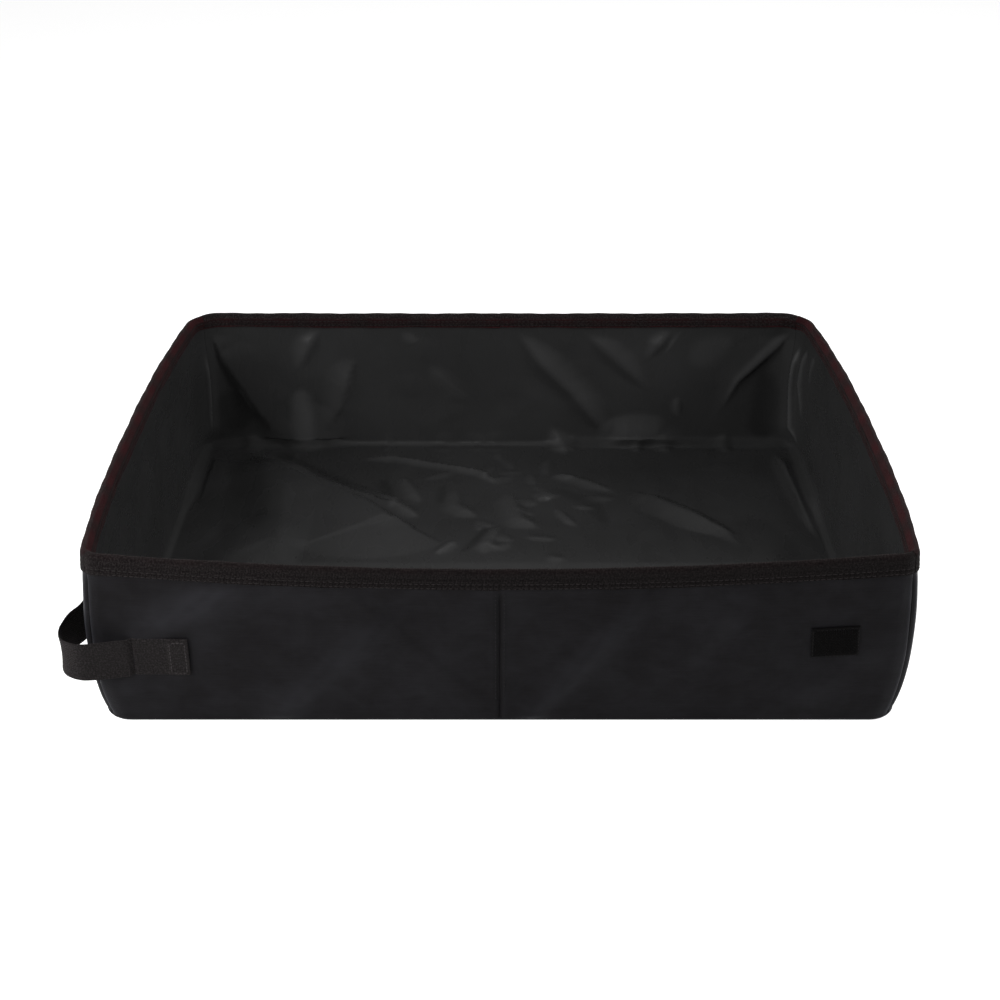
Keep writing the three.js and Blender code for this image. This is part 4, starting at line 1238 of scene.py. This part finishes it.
def make_patch():
    spots = np.array([-0.5, -0.485, -0.45, -0.3, -0.1, 0.1, 0.3, 0.45, 0.485, 0.5])
    edge = 0.5 - np.maximum(np.abs(spots[:, None]), np.abs(spots))
    thick = 0.5 + 0.75 * smoothstep(0, 0.035, edge)
    face, back = [
        np.array([[on_patch(across, up, PATCH_SEAT - high)[0] for up, high in zip(spots, row)]
                  for across, row in zip(spots, rows)])
        for rows in (thick, 0 * thick)
    ]
    lay = pair_up(spots[:, None] * PATCH_SIZE[0], spots * PATCH_SIZE[1])
    piece = add_sheet("hook_tape", face, back, HOOK_LOOK, lay)
    points, faces = [], []
    chance = np.random.RandomState(5)
    for i, across in enumerate(np.linspace(-0.44, 0.44, HOOK_COLUMNS)):
        for j, up in enumerate(np.linspace(-0.42, 0.42, HOOK_ROWS)):
            spot = across + chance.uniform(-0.004, 0.004), up + chance.uniform(-0.005, 0.005)
            root, out = on_patch(*spot, HOOK_SEAT)
            bend = 1 if (i + j) % 2 else -1
            faces += tube_faces(len(points), len(HOOK_RINGS), HOOK_SIDES)
            for climb, lean, size in HOOK_RINGS:
                centre = root + out * climb + np.array([0, 0, 1.0]) * lean * bend
                for angle in np.arange(HOOK_SIDES) * 2 * math.pi / HOOK_SIDES:
                    points.append(centre + np.array([math.cos(angle), 0, math.sin(angle)]) * size)
    points = np.array(points)
    hooks = add_mesh("hooks", points, faces, {"lay": points}, HOOK_LOOK)
    rows = []
    for a, b in zip(PATCH_FRAME, PATCH_FRAME[1:]):
        rows.append(unzip([
            on_patch(a[0] + (b[0] - a[0]) * share, a[1] + (b[1] - a[1]) * share, PATCH_THREAD_SEAT)
            for share in np.linspace(0, 1, 12)
        ]))
    stitches = add_stitches("patch_stitches", rows, PATCH_THREAD, DARK_THREAD_LOOK)
    for part in (piece, hooks, stitches):
        settle_on(part, WALLS["front_right"])
    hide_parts("hook_patch")


def make_stiffeners():
    """The thin wall boards are shown by copies that ride with their walls, in place of the boards of the model.
    """
    for wall in WALLS.values():
        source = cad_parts[f"{wall.name}_board_{wall.half}"]
        piece = add_object(f"stiffener_{wall.body}", source.data.copy())
        settle_on(piece, wall, "board")


# Stage, light and camera: how bright the stage looks, and how much light it gives
STAGE_GLOW, STAGE_FILL = 0.85, 0.06


def seen_directly(tree):
    """One where the camera, a mirror image or glass sees the surface, and zero for the light that it gives."""
    path = put(tree, "ShaderNodeLightPath")
    seen = calc(tree, "MAXIMUM", path.outputs["Is Camera Ray"], path.outputs["Is Glossy Ray"])
    return calc(tree, "MAXIMUM", seen, path.outputs["Is Transmission Ray"])


def make_stage(reach=9, level=-0.0008):
    mesh = bpy.data.meshes.new("studio_floor")
    corners = [(x * reach, y * reach, level) for x, y in ((-1, -1), (1, -1), (1, 1), (-1, 1))]
    mesh.from_pydata(corners, [], [[0, 1, 2, 3]])
    material, tree, shader = new_material(
        "pale_floor", Roughness=0.9, Specular_IOR_Level=0.1, Base_Color=(0.72, 0.72, 0.72, 1),
        Emission_Color=(1, 1, 1, 1),
    )
    tree.links.new(calc(tree, "MULTIPLY", seen_directly(tree), STAGE_GLOW), shader.inputs["Emission Strength"])
    mesh.materials.append(material)
    add_object("studio_floor", mesh)

    world = bpy.data.worlds.new("studio")
    bpy.context.scene.world = world
    world.use_nodes = True
    tree = world.node_tree
    tree.nodes.clear()
    strength = ramp(tree, seen_directly(tree), STAGE_FILL, 1.0, 0.0, 1.0)
    background = put(tree, "ShaderNodeBackground", {"Color": (1, 1, 1, 1), "Strength": strength})
    put(tree, "ShaderNodeOutputWorld", {0: background.outputs[0]})


# Lamps: place in metres, size and power. Then where they point, and where the camera is.
LAMPS = {
    "front": ((-0.35, -1.4, 1.0), 0.5, 4.7),
    "key": ((-0.52, -0.62, 0.42), 0.35, 3.4),
    "left": ((-1.3, -0.25, 0.75), 0.5, 7.8),
    "right": ((1.3, -0.25, 0.72), 0.5, 11),
    "top": ((0.2, 0.1, 1.5), 0.8, 2),
    "rear": ((0.7, 1.2, 1.7), 0.6, 5),
}
LAMP_TARGET = (0, 0, 0.05)
CAMERA_PLACE = (0.0, -1.0665, 0.6036)
CAMERA_DOWN = math.radians(27.286)
CAMERA_LENS = 60.307
CAMERA_SENSOR = 36.0


def make_light_and_camera():
    for name, (place, size, power) in LAMPS.items():
        light = bpy.data.lights.new(name, "AREA")
        light.shape = "DISK"
        light.size = size
        light.energy = power
        lamp = add_object(name, light)
        lamp.location = place
        way = np.array(LAMP_TARGET) - np.array(place)
        lamp.rotation_euler = (
            math.atan2(math.hypot(way[0], way[1]), -way[2]), 0, math.atan2(way[0], -way[1]) + math.pi
        )
    data = bpy.data.cameras.new("photo_view")
    data.lens = CAMERA_LENS
    data.sensor_width = CAMERA_SENSOR
    camera = add_object("photo_view", data)
    camera.location = CAMERA_PLACE
    camera.rotation_euler = (math.pi / 2 - CAMERA_DOWN, 0, 0)
    bpy.context.scene.camera = camera
    bpy.context.scene.view_settings.view_transform = "Standard"


make_light_and_camera()
make_stage()
make_cloth_walls()
make_bottom()
make_centre_feet()
make_lining_walls()
make_lining_floor()
make_tapes()
make_seam_stitches()
make_strap()
make_patch()
make_stiffeners()
